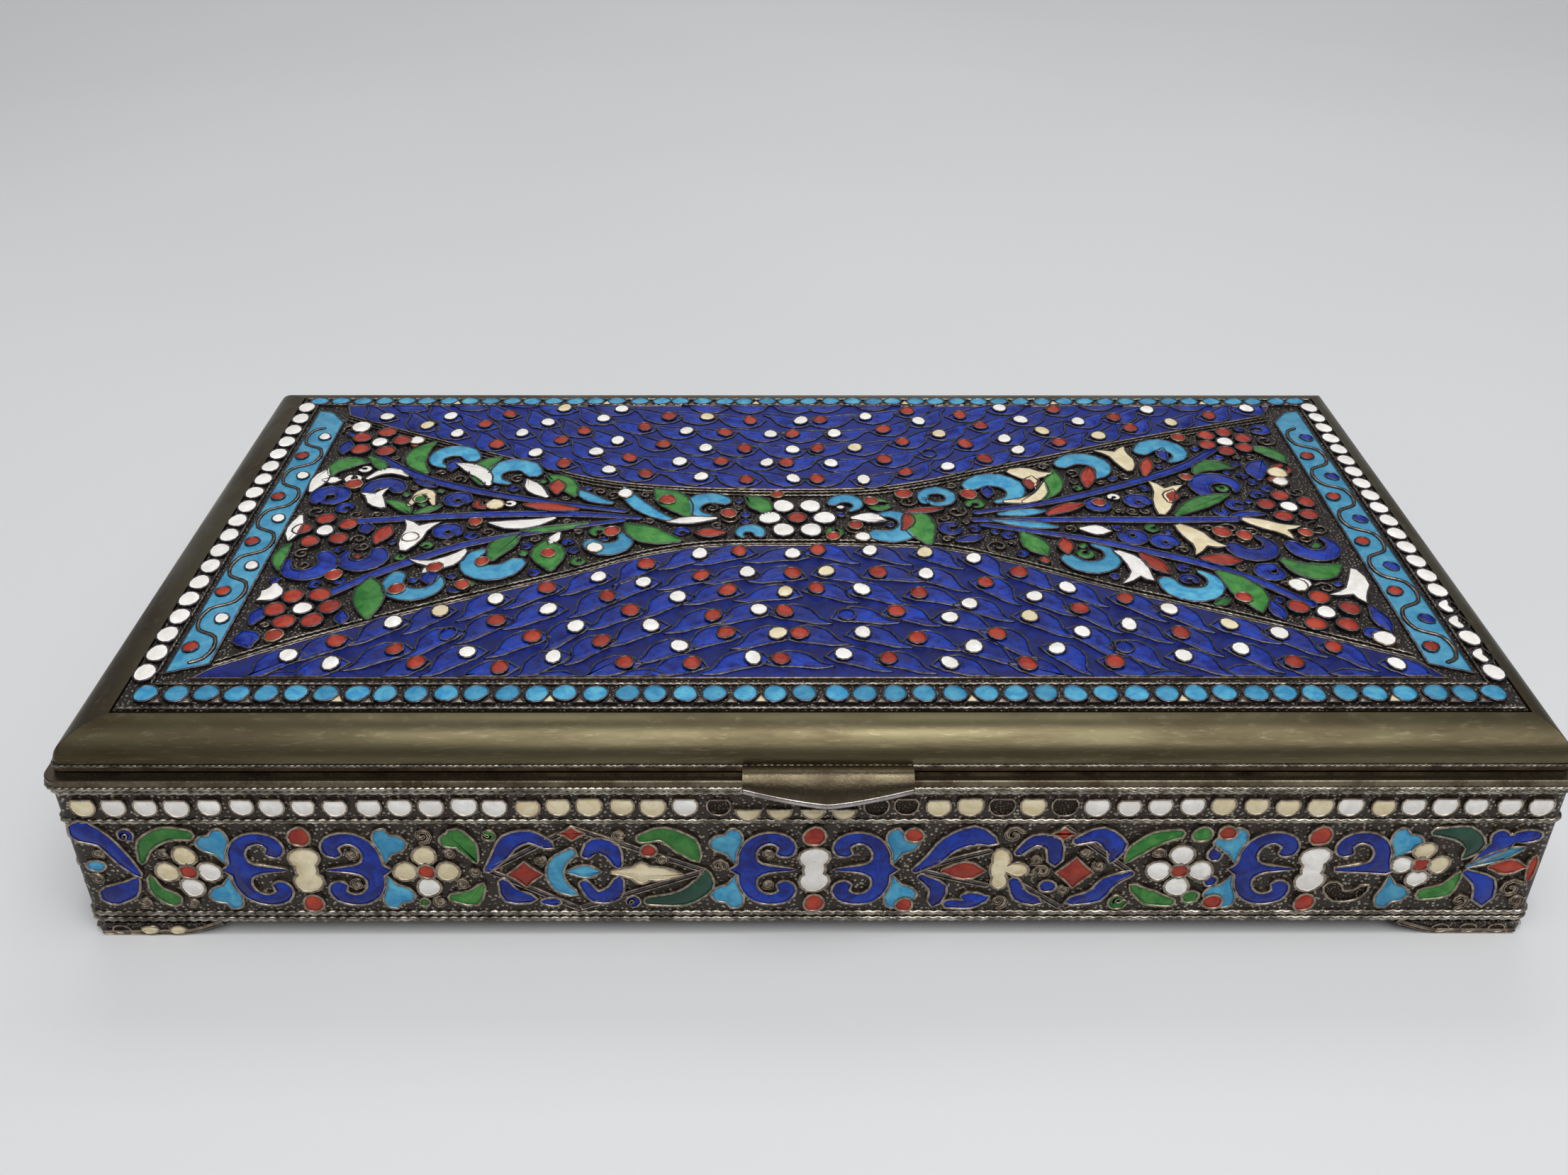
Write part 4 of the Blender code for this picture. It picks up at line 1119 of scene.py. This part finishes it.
def field_cells(edge, way, limit, seed):
    """Rows of comma cells from one edge of the spray out to the panel's border."""
    chance = random.Random(seed)
    commas = []
    dots = []
    for row in range(8):
        x = -field_half + (row % 2) * 0.5 * comma_pitch + chance.uniform(-1.0, 1.0)
        number = row
        while x < field_half:
            y, slope = height_of(edge, x)
            stretch = math.hypot(1, slope)
            y += way * (2.3 + row_spacing * row) * stretch
            lean = math.atan(slope) + chance.uniform(-0.16, 0.16)
            flip = -1 if x > -3 else 1
            wide = chance.uniform(3.3, 3.9)
            spine = ((-4.4, -1.9), (-2.7, -1.5), (-1.0, -0.3), (0.7, 0.3), (2.4, -0.1))
            longer = chance.uniform(0.84, 1.02)
            comma = stroke(
                [(u * flip * longer, -v * way) for u, v in spine],
                (0.3, 0.42 * wide, 0.86 * wide, wide, 0.7 * wide), 2,
            )
            moved_x = x + chance.uniform(-0.7, 0.7)
            moved_y = y + chance.uniform(-0.45, 0.45)
            comma = turned(comma, moved_x, moved_y, lean)
            head = turned([(1.5 * flip, 0.1)], moved_x, moved_y, lean)[0]
            room = way * (limit - head[1])
            if room > -0.7 and abs(head[0]) < 67.0:
                reach = way * limit - 0.25
                comma = [(min(max(u, -68.2), 68.2), way * min(way * v, reach)) for u, v in comma]
                commas.append(("cobalt", comma))
                if room > 1.4:
                    draw = chance.random()
                    colour = "white" if number % 2 else "coral"
                    colour = "bare" if draw < 0.03 else ("cream" if draw < 0.14 else colour)
                    tall = chance.uniform(2.1, 2.5)
                    across = chance.uniform(1.7, 2.0)
                    dots.append((colour, dot(*head, across, tall, chance.uniform(-25, 25), 10)))
            number += 1
            x += comma_pitch / stretch * chance.uniform(0.95, 1.05)
    return commas, dots


upper_commas, upper_dots = field_cells(upper_edge, 1, field_top, 21)
lower_commas, lower_dots = field_cells(lower_edge, -1, field_bottom, 22)
upper_bed = [tuple(p) for p in flowing(upper_edge, 3)] + [(69.5, field_top), (-69.5, field_top)]
lower_bed = [tuple(p) for p in flowing(lower_edge, 3)] + [(70.0, field_bottom), (-70.0, field_bottom)]
set_cells(
    "field_beds", [("bed", upper_bed), ("bed", lower_bed)], on_panel(), "lid",
    height=0.34, grow=0.0,
)
set_cells(
    "field_commas", upper_commas + lower_commas, on_panel(bed_lift), "lid",
    height=0.32, width=0.30, seed=23, grow=0.14, wire="dark_wire",
)
set_cells(
    "field_dots", upper_dots + lower_dots, on_panel(bed_lift + 0.12), "lid",
    height=0.34, width=0.22, seed=24, grow=0.22, wire="dark_wire",
)


# A sky-blue band runs down each end of the picture, with a wire vine winding along it and a dot in every
# bend. Turquoise dots edge the plate at the front and back, and white ones at its two ends.
band_inner = 68.4
band_outer = 73.6
band_bottom = -31.4
band_top = 34.6
bend_length = 5.9
vine_start = band_bottom + 0.8
band_middle = 0.5 * (band_inner + band_outer)
band_cells = []
vine_cells = []
for side in (-1, 1):
    inner = side * (band_inner + 0.25)
    outer = side * (band_outer - 0.25)
    band = [(inner, band_bottom + 0.6), (outer, band_bottom - 1.2), (outer, band_top)]
    band += [(0.5 * (inner + outer), band_top - 0.6), (inner, band_top - 3.8)]
    band_cells.append(("sky_bed", band))
    vine = []
    bends = int((band_top - band_bottom - 3) / bend_length)
    for k in range(4 * bends + 1):
        turn = math.pi * k / 4
        y = vine_start + bend_length * turn / math.pi - 0.65 * math.sin(2 * turn)
        vine.append((side * band_middle + 1.75 * math.sin(turn), y))
    vine_cells.append(("wire", stroke(vine, (0.3, 0.3), 2)))
    colours = ("coral", "white") if side < 0 else ("coral", "cobalt")
    for k in range(bends):
        y = vine_start + bend_length * (k + 0.5)
        way = 1 if k % 2 else -1
        berry = dot(side * band_middle + way * 0.85, y, 1.75, 2.1, 20 * way, 10)
        vine_cells.append((colours[k % 2], berry))
set_cells(
    "end_bands", band_cells, on_panel(), "lid",
    height=0.34, seed=31, grow=0.0, wire="dark_wire",
)
set_cells(
    "end_band_vines", vine_cells, on_panel(0.2), "lid",
    height=0.3, width=0.2, seed=32, grow=0.1, wire="dark_wire",
)
long_row_half = 75.6
chipped = (1, 3, 4)
edge_cells = []
chance = random.Random(33)
for y, count, tall, lean in ((-36.3, 46, 2.65, -8), (37.75, 47, 1.9, 14)):
    for k in range(count):
        x = (k + 0.5 - 0.5 * count) * 2 * long_row_half / count
        moved = x + chance.uniform(-0.2, 0.2)
        edge_cells.append(("turquoise", dot(moved, y + chance.uniform(-0.1, 0.1), 2.45, tall, lean)))
        if k:
            between = x - long_row_half / count
            foot = y - 0.5 * tall
            corner = [(between - 0.45, foot - 0.25), (between + 0.45, foot - 0.25), (between, foot + 0.6)]
            edge_cells.append(("cream" if k % 7 == 0 else "silver", corner))
for x, count, tall in ((-75.35, 19, 3.05), (75.35, 21, 2.75)):
    for k in range(count):
        y = -32.9 + (k + 0.1) * 68.6 / (count - 0.8)
        moved = x + chance.uniform(-0.1, 0.1)
        if x > 0 and k in chipped:
            edge_cells.append(("bare", dot(moved, y, 2.2, tall)))
            left_over = [(moved - 0.2, y - 0.9), (moved - 0.5, y), (moved, y + 0.8)]
            edge_cells.append(("white", stroke(left_over, (1.0, 1.1, 0.6))))
        else:
            edge_cells.append(("white", dot(moved, y, 2.2, tall)))
set_cells(
    "panel_edge_dots", edge_cells, on_panel(), "lid",
    height=0.4, width=0.22, seed=34, grow=0.24, wire="dark_wire",
)


# The spray is tied at the waist by a six-petalled flower and fans out to three coral rosettes at each end.
# Its scrolls, leaves and commas are separate cells on the granular ground, between two edging wires.
def rosette(x, y, petals=6, reach=3.05, size=2.35, colour="coral", middle="white", turn=0.0):
    """Round petals about a small middle."""
    cells = [(middle, dot(x, y, 2.15, 2.4))]
    for k in range(petals):
        angle = math.radians(turn) + 2 * math.pi * k / petals
        cells.append((colour, dot(*around(x, y, reach, angle), size, size * 1.08)))
    return cells


def tulip(x0, y0, x1, y1, wide, bend=0.0):
    """A petal from its stalk to a notched tip with two small horns, curved to its left by a share."""
    along = np.array((x1 - x0, y1 - y0))
    side = np.array((-along[1], along[0]))
    across = wide * side / np.hypot(*side)
    edge = (
        (0.0, 0.10), (0.2, 0.27), (0.45, 0.37), (0.7, 0.36), (0.88, 0.46), (1.04, 0.62), (0.98, 0.3),
        (0.86, 0.0),
    )
    outline = [(t, -s) for t, s in edge] + list(edge[-2::-1])
    return [tuple((x0, y0) + along * t + across * s + side * bend * 4 * t * (1 - t)) for t, s in outline]


spray = rosette(-2.2, 2.1, 6, 3.6, 2.75, "white", "coral")
spray += rosette(-61.9, 23.9, 5, 3.15, 2.4, turn=10)
spray += rosette(-63.3, -1.2, 5, 3.05, 2.2, turn=30)
spray += rosette(-61.3, -19.5, 6, 3.2, 2.4, turn=5)
spray += rosette(59.7, 24.1, 6, 3.0, 2.2, turn=20)
spray += rosette(63.4, 5.1, 5, 2.95, 2.2, turn=25)
spray += rosette(60.4, -20.4, 5, 3.2, 2.3, turn=15)
stems = (
    [(-61.0, 19.6), (-55.5, 14.6), (-50.0, 11.4), (-43.0, 8.6), (-35.0, 6.3), (-25.0, 4.0)],
    [(-60.2, 1.2), (-50.0, 2.5), (-40.0, 3.2), (-30.0, 3.1), (-23.0, 2.2)],
    [(-59.8, -17.0), (-55.0, -12.2), (-50.0, -8.2), (-44.6, -4.6), (-36.0, -1.4), (-25.0, 1.6)],
    [(57.4, 21.8), (52.5, 17.0), (47.0, 13.6), (40.0, 10.0), (32.0, 6.6), (21.5, 3.6)],
    [(55.6, 1.9), (46.0, 1.7), (36.0, 1.8), (21.0, 1.6)],
    [(59.2, -18.6), (54.0, -13.2), (48.4, -9.3), (42.0, -6.2), (34.0, -2.9), (22.0, 0.4)],
)
for path in stems:
    spray.append(("cobalt", stroke(path, (1.1, 1.2, 1.2, 1.0, 0.5))))
scrolls = {
    "turquoise": (
        (-50.2, 18.6, 2.5, 3.3, 20, 205), (-41.2, 14.2, 2.7, 3.5, 20, 215), (-13.6, 5.0, 2.4, 2.9, 55, 190),
        (-8.4, -1.9, 1.3, 1.9, 0, 200), (-26.6, -3.4, 2.2, 3.2, 215, 180),
        (-48.9, -13.3, 2.9, 3.0, 165, 195), (-40.3, -8.3, 2.9, 3.7, -25, -195),
        (4.2, 5.6, 1.7, 2.1, 150, -190), (9.4, 0.4, 2.9, 3.4, 250, 200), (16.6, 7.7, 1.9, 1.7, 200, -330),
        (24.3, 9.4, 3.1, 3.7, 140, -200), (37.6, 15.8, 2.9, 3.4, 140, -190),
        (49.6, 20.4, 2.6, 3.6, 150, -195), (34.6, -7.2, 2.8, 2.9, 205, 200),
        (46.0, -13.4, 2.9, 3.2, 190, 200),
    ),
    "cobalt": (
        (-65.0, 7.9, 1.7, 2.5, 200, -280), (-58.2, 9.6, 2.0, 3.0, 20, 200), (-47.6, 7.0, 1.2, 1.7, 0, 300),
        (-57.2, -7.4, 2.2, 2.9, 20, -200), (-63.6, -9.2, 2.6, 2.8, 40, -210),
        (-47.4, -1.4, 1.2, 1.8, 0, 300), (55.4, 10.5, 2.5, 3.2, 200, -200), (43.6, 6.6, 1.1, 1.7, 0, 300),
        (55.7, -4.6, 2.4, 3.0, 200, 190), (63.6, -4.6, 2.5, 2.8, 190, 190),
        (41.0, -2.5, 1.2, 1.8, 180, 300), (44.9, -4.0, 1.1, 1.7, 0, 300), (56.6, -11.2, 1.2, 1.9, 90, 270),
        (38.2, 5.9, 1.1, 1.6, 120, 280),
    ),
}
for colour, places in scrolls.items():
    for x, y, radius, bulb, start, sweep in places:
        spray.append((colour, scroll(x, y, radius, bulb, start, sweep)))
leaves = {
    "green": (
        (-53.4, 14.8, -54.0, 23.8, 2.9, 0.22), (-45.2, 11.6, -43.8, 19.2, 2.8, 0.2),
        (-32.2, 8.4, -36.4, 13.8, 2.9, -0.1), (-16.6, 2.9, -21.2, 9.8, 4.1, -0.05),
        (-17.6, -3.6, -24.4, 0.4, 3.9, 0.1), (-6.2, 3.4, -8.9, 7.6, 3.0, -0.1),
        (-40.6, -8.2, -38.0, -2.2, 3.1, 0.1), (-33.0, -10.4, -34.4, -3.8, 4.2, 0.0),
        (-29.6, 0.8, -37.8, -1.2, 1.5, 0.05), (-53.2, -21.2, -54.8, -12.8, 3.7, 0.0),
        (-66.6, -10.6, -66.9, -4.6, 1.6, 0.1), (-56.9, 6.6, -53.4, 3.4, 1.8, 0.1),
        (-52.6, 3.4, -49.6, 5.2, 1.3, 0.0), (-62.2, 19.4, -59.6, 15.4, 1.9, 0.1),
        (-66.4, 14.2, -62.2, 17.8, 3.2, 0.3), (14.6, -4.2, 13.6, 4.4, 4.1, 0.05),
        (28.4, 6.4, 33.4, 15.4, 2.8, -0.16), (53.2, 14.8, 58.6, 16.2, 3.0, 0.25),
        (48.0, 3.0, 56.0, 8.4, 2.7, 0.05), (62.6, 22.4, 66.6, 17.8, 2.4, 0.15),
        (27.0, -1.9, 29.2, -7.2, 3.1, 0.0), (58.8, -8.6, 65.4, -9.8, 3.8, -0.3),
        (50.0, -11.4, 52.8, -20.0, 4.0, 0.1), (47.8, -18.6, 49.6, -17.6, 1.2, 0.0),
    ),
    "white": (
        (-44.2, 11.2, -49.4, 17.2, 2.5, -0.12), (-35.9, 7.8, -39.0, 12.4, 2.1, 0.05),
        (-34.2, 1.9, -42.2, 0.7, 2.2, 0.12), (-57.2, 4.8, -59.2, 9.2, 2.9, 0.1),
        (-44.2, -6.2, -49.4, -10.0, 3.1, 0.18), (-33.0, -2.0, -33.8, -4.6, 1.4, 0.0),
        (-13.0, 1.9, -19.0, 1.0, 1.6, 0.0), (-67.4, 2.4, -67.3, -3.6, 1.9, 0.0),
        (-67.9, 9.4, -67.2, 15.4, 2.2, 0.0), (-66.8, 12.4, -64.8, 12.4, 1.6, 0.0),
        (-61.0, 12.9, -55.8, 13.6, 1.5, 0.35), (-52.2, -6.2, -51.2, 0.9, 3.8, 0.0),
        (5.2, 2.0, 9.2, 1.4, 2.3, 0.1), (38.2, -6.4, 39.6, -13.4, 3.2, 0.18),
        (66.8, -10.8, 64.2, -17.2, 3.3, 0.12), (34.8, -0.8, 38.2, -1.4, 2.3, 0.0),
        (-66.0, -14.4, -67.0, -17.6, 2.6, 0.2),
    ),
    "cream": (
        (25.8, 6.4, 31.6, 11.8, 1.9, -0.25), (27.2, 15.2, 31.6, 12.4, 4.3, 0.1),
        (44.2, 15.2, 42.6, 21.6, 3.7, -0.08), (46.0, 3.0, 48.2, 11.2, 3.6, 0.0),
        (47.4, 0.2, 50.2, -6.0, 3.9, 0.05), (56.2, 1.8, 62.2, -1.6, 3.0, 0.0),
        (-53.8, 5.4, -50.6, 5.6, 1.7, 1.1),
    ),
    "coral": (
        (-31.4, 4.3, -38.4, 5.5, 1.9, 0.0), (-56.0, -4.2, -55.2, -0.2, 2.2, 0.0),
        (-34.6, 8.8, -34.8, 12.2, 2.1, 0.0), (37.4, 10.6, 38.6, 16.0, 1.9, 0.0),
        (46.0, 13.8, 47.4, 18.8, 1.6, 0.0), (31.0, 3.0, 36.0, 5.6, 1.9, 0.05),
        (41.2, -7.2, 43.6, -11.6, 2.2, 0.0), (31.9, -6.8, 32.0, -3.4, 1.8, 0.0),
        (48.8, -8.2, 53.2, -8.8, 2.5, 0.0), (-11.8, -1.8, -15.2, -1.9, 2.0, 0.0),
        (11.6, -0.9, 12.2, 3.4, 1.6, -0.1), (12.2, 3.6, 17.0, 4.4, 1.2, 0.0),
        (47.8, 6.4, 48.8, 9.4, 2.1, 0.0), (29.6, 10.2, 30.2, 13.2, 2.0, 0.0),
    ),
    "turquoise": (
        (-18.4, 1.4, -25.6, 10.4, 2.1, 0.1), (-27.0, 6.2, -31.8, 9.8, 1.7, 0.1),
        (24.6, 3.2, 30.6, 4.0, 1.7, 0.0), (23.6, 1.6, 31.6, -0.2, 1.8, 0.0),
    ),
    "cobalt": (
        (-50.2, 15.6, -49.8, 18.6, 1.8, 0.0), (-66.4, 20.8, -66.4, 24.2, 1.9, 0.0),
        (-47.6, -10.8, -47.4, -13.8, 2.2, 0.0), (-65.4, -27.2, -66.8, -24.4, 2.9, 0.0),
        (-66.4, -22.6, -66.2, -19.4, 1.8, 0.0), (-58.6, 0.8, -57.8, -1.6, 1.8, 0.0),
        (61.6, 13.2, 63.4, 18.2, 3.0, 0.1), (50.0, 18.8, 50.2, 22.0, 1.4, 0.1),
        (23.6, 8.0, 23.8, 10.6, 1.5, 0.0), (55.0, 2.4, 59.6, 3.2, 1.2, 0.1),
        (66.2, -19.4, 66.8, -24.2, 1.9, 0.0), (54.6, -18.2, 55.0, -21.6, 1.7, 0.0),
        (18.4, -3.6, 21.6, -2.6, 1.5, 0.0), (-56.4, -20.2, -56.0, -22.6, 1.5, 0.0),
        (-54.4, 12.6, -51.4, 10.8, 1.4, 0.0),
    ),
}
for colour, places in leaves.items():
    for x0, y0, x1, y1, wide, bend_share in places:
        shape = tulip if colour in ("white", "cream") and wide > 2.7 else leaf
        spray.append((colour, shape(x0, y0, x1, y1, wide, bend_share)))
loose_dots = {
    "coral": (
        (-62.5, 11.1, 2.2), (-44.2, 0.9, 1.7), (-47.3, -10.4, 1.9), (-51.0, -15.4, 2.0), (-41.7, -9.0, 1.7),
        (-43.2, -14.4, 1.8), (-33.7, -7.0, 1.8), (-26.2, -1.6, 2.1), (-19.5, 6.8, 2.1), (-11.2, 3.1, 2.0),
        (-4.8, 8.2, 1.6), (-59.4, -12.2, 2.0), (-63.0, -25.4, 2.1), (2.4, -2.8, 1.7), (5.4, 0.0, 1.8),
        (7.7, 6.4, 1.8), (12.2, 8.4, 2.2), (21.0, 8.3, 2.2), (38.2, 6.0, 1.7), (51.5, 13.1, 1.6),
        (52.7, -1.8, 2.3), (55.4, -2.6, 2.0), (63.5, -1.9, 1.7), (51.4, -17.3, 1.9), (53.2, 25.2, 2.0),
    ),
    "white": (
        (-65.6, 28.6, 2.8), (-56.6, 24.3, 2.0), (-25.3, 8.6, 2.0), (-28.0, -5.6, 2.0), (6.2, -2.9, 1.9),
        (64.2, 12.0, 2.1), (58.8, -14.5, 2.3), (65.4, -26.0, 2.5), (-51.9, -3.0, 2.0),
    ),
    "cream": ((-42.4, 5.5, 2.3), (64.5, 14.5, 2.6)),
    "green": ((-52.7, 7.2, 1.9),),
}
inner_dots = []
for colour, places in loose_dots.items():
    for x, y, size in places:
        inner_dots.append((colour, dot(x, y, size, size * 1.12, 0, 10)))
set_cells(
    "spray", spray, on_panel(), "lid",
    height=0.42, width=0.26, seed=41, grow=0.24, wire="dark_wire",
)


def spray_edge_room(u, v):
    """How far a point of the spray's ground lies inside its two edges."""
    return min(v - height_of(lower_edge, u)[0], height_of(upper_edge, u)[0] - v) - 1.9


spray_fill = {"cobalt": 7, "bare": 10, "green": 2, "coral": 1, "white": 1}
fillers = fill_gaps(spray, spray_edge_room, 66.6, 31.0, spray_fill, 43)
set_cells(
    "spray_fillers", fillers, on_panel(), "lid",
    height=0.34, width=0.22, seed=44, grow=0.1, wire="dark_wire",
)
set_cells(
    "spray_dots", inner_dots, on_panel(0.14), "lid", height=0.36, width=0.22, seed=42, grow=0.16
)
edging_radius = 0.2
for edge, way in ((upper_edge, -1), (lower_edge, 1)):
    for offset in (0.45, 1.35):
        points = [on_panel()(u, v + way * offset, 0.14) for u, v in flowing(edge, 3)]
        panel_runs.append(twisted_wire(points, edging_radius, False, 0.85))
panel_wires = wire_piece("panel_wires", panel_runs, [worn_string])
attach(panel_wires, "lid")


# The thumb-piece is a small lip of sheet soldered to the lid's front edge. It runs level over the rim and
# droops in front of it, its free edge thickened and bowed to a blunt point, rubbed bright by fingers.
thumb_low, thumb_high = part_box("thumb_piece")
thumb_middle = (thumb_low.x + thumb_high.x) / 2 / MM
thumb_width = (thumb_high.x - thumb_low.x) / MM
thumb_thickness = 0.8
thumb_level = lid_bottom + 0.5 * thumb_thickness + 0.1
thumb_droop = math.radians(55)
thumb_bend = 0.9
lid_setback = 1.0
thumb_steps = 32
droop_at_ends = 0.8
droop_more = 1.6
thumb_edge_radius = 0.46


def droop_length(share):
    """How far the lip droops at a place along it, from -1 to 1, deepest in the middle."""
    return droop_at_ends + droop_more * (1 - abs(share) ** 1.35)


thumb_sections = []
for k in range(thumb_steps + 1):
    share = 2 * k / thumb_steps - 1
    path = [(0.3, thumb_level)]
    for step in range(7):
        turn = thumb_droop * step / 6
        z = thumb_level - thumb_bend * (1 - math.cos(turn))
        path.append((lid_setback + thumb_bend * math.sin(turn), z))
    out, z = path[-1]
    length = droop_length(share)
    path.append((out + length * math.cos(thumb_droop), z - length * math.sin(thumb_droop)))
    section = stroke(path, (thumb_thickness, thumb_thickness, thumb_thickness, thumb_thickness + 0.25), 1)
    x = thumb_middle + 0.5 * thumb_width * share
    thumb_sections.append([(x, -lid_half_width - o, z) for o, z in section])
thumb_finish = old_metal(
    "thumb_gilt", (0.086, 0.073, 0.045), (0.066, 0.050, 0.032), (0.36, 0.32, 0.25), 0.28, 0.3, 3.0
)
thumb = lofted("thumb_lip", thumb_sections, (thumb_finish,), [0] * len(thumb_sections), smooth=50.0)
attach(thumb, "lid")
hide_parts("thumb_piece")
edge_rings = []
for k in range(thumb_steps + 1):
    share = 2 * k / thumb_steps - 1
    length = droop_length(share) + 0.2
    out = lid_setback + thumb_bend * math.sin(thumb_droop) + length * math.cos(thumb_droop)
    z = thumb_level - thumb_bend * (1 - math.cos(thumb_droop)) - length * math.sin(thumb_droop)
    x = thumb_middle + (0.5 * thumb_width - 0.1) * share
    ring = [around(-lid_half_width - out, z, thumb_edge_radius, math.pi * side / 4) for side in range(8)]
    edge_rings.append([(x, *point) for point in ring])
edge_silver = old_metal(
    "thumb_edge_silver", (0.44, 0.41, 0.385), (0.24, 0.21, 0.19), (0.95, 0.93, 0.9), 0.2, 0.3, 3.0
)
thumb_edge = lofted("thumb_edge", edge_rings, (edge_silver,), [0] * len(edge_rings), smooth=60.0)
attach(thumb_edge, "lid")


# The hinge is a row of five brass knuckles on one pin behind the back wall, one leaf soldered under the rim
# and the other to the lid's edge. It is hidden from the front and finished plainly.
hinge_brass = old_metal(
    "hinge_brass", (0.42, 0.33, 0.17), (0.12, 0.085, 0.045), (0.72, 0.62, 0.40), 0.36, 0.3, 2.0
)
pin_brass = old_metal(
    "pin_brass", (0.52, 0.44, 0.27), (0.20, 0.15, 0.08), (0.8, 0.72, 0.52), 0.28, 0.4, 2.0
)
dress("hinge_body_half", hinge_brass)
dress("hinge_lid_half", hinge_brass)
dress("hinge_pin", pin_brass)


# The box stands on a plain pale floor that curves up behind it into a pale wall. Two soft lights and a small
# lamp light it.
floor_half = 4.0
curve_from = 0.55
curve_radius = 0.6
floor_profile = [(-floor_half, 0.0), (curve_from, 0.0)]
for k in range(1, 13):
    turn = math.pi / 2 * k / 12
    floor_profile.append((curve_from + curve_radius * math.sin(turn), curve_radius * (1 - math.cos(turn))))
floor_profile.append((curve_from + curve_radius, 2.0))
vertices = [(x * floor_half / MM, y / MM, z / MM) for y, z in floor_profile for x in (-1, 1)]
faces = [(2 * k, 2 * k + 1, 2 * k + 3, 2 * k + 2) for k in range(len(floor_profile) - 1)]
floor_paint, floor_tree, floor_shader = new_finish("pale_floor", 0.6, 0.0)
floor_tint = texture(floor_tree, "ShaderNodeTexNoise", 0.004, Detail=2.0)
floor_colour = ramp(
    floor_tree, floor_tint.outputs["Fac"], 0.3, 0.7, (0.60, 0.605, 0.61), (0.64, 0.645, 0.65)
)
floor_tree.links.new(floor_colour, floor_shader.inputs["Base Color"])
floor = make_piece("floor", vertices, faces, [floor_paint], smooth=60.0)
for name, place, aim, (wide, deep), power in (
    ("overhead_light", (0.13, -0.38, 0.80), (0.02, -0.06, 0.0), (0.85, 0.85), 7.0),
    ("small_lamp", (0.01, -0.15, 0.78), (0.0, -0.04, 0.0), (0.1, 0.1), 0.7),
    ("back_light", (0.0, 0.66, 0.95), (0.0, 0.45, 0.0), (1.0, 0.4), 2.6),
):
    light_data = bpy.data.lights.new(name, "AREA")
    light_data.shape = "RECTANGLE"
    light_data.size = wide
    light_data.size_y = deep
    light_data.energy = power
    light = bpy.data.objects.new(name, light_data)
    light.location = place
    light.rotation_mode = "QUATERNION"
    light.rotation_quaternion = (Vector(aim) - Vector(place)).to_track_quat("-Z", "Y")
    bpy.context.scene.collection.objects.link(light)
world = bpy.data.worlds.new("studio")
world.use_nodes = True
background = world.node_tree.nodes["Background"]
background.inputs["Color"].default_value = (0.95, 0.96, 1.0, 1.0)
background.inputs["Strength"].default_value = 0.29
bpy.context.scene.world = world
bpy.context.scene.view_settings.view_transform = "Standard"
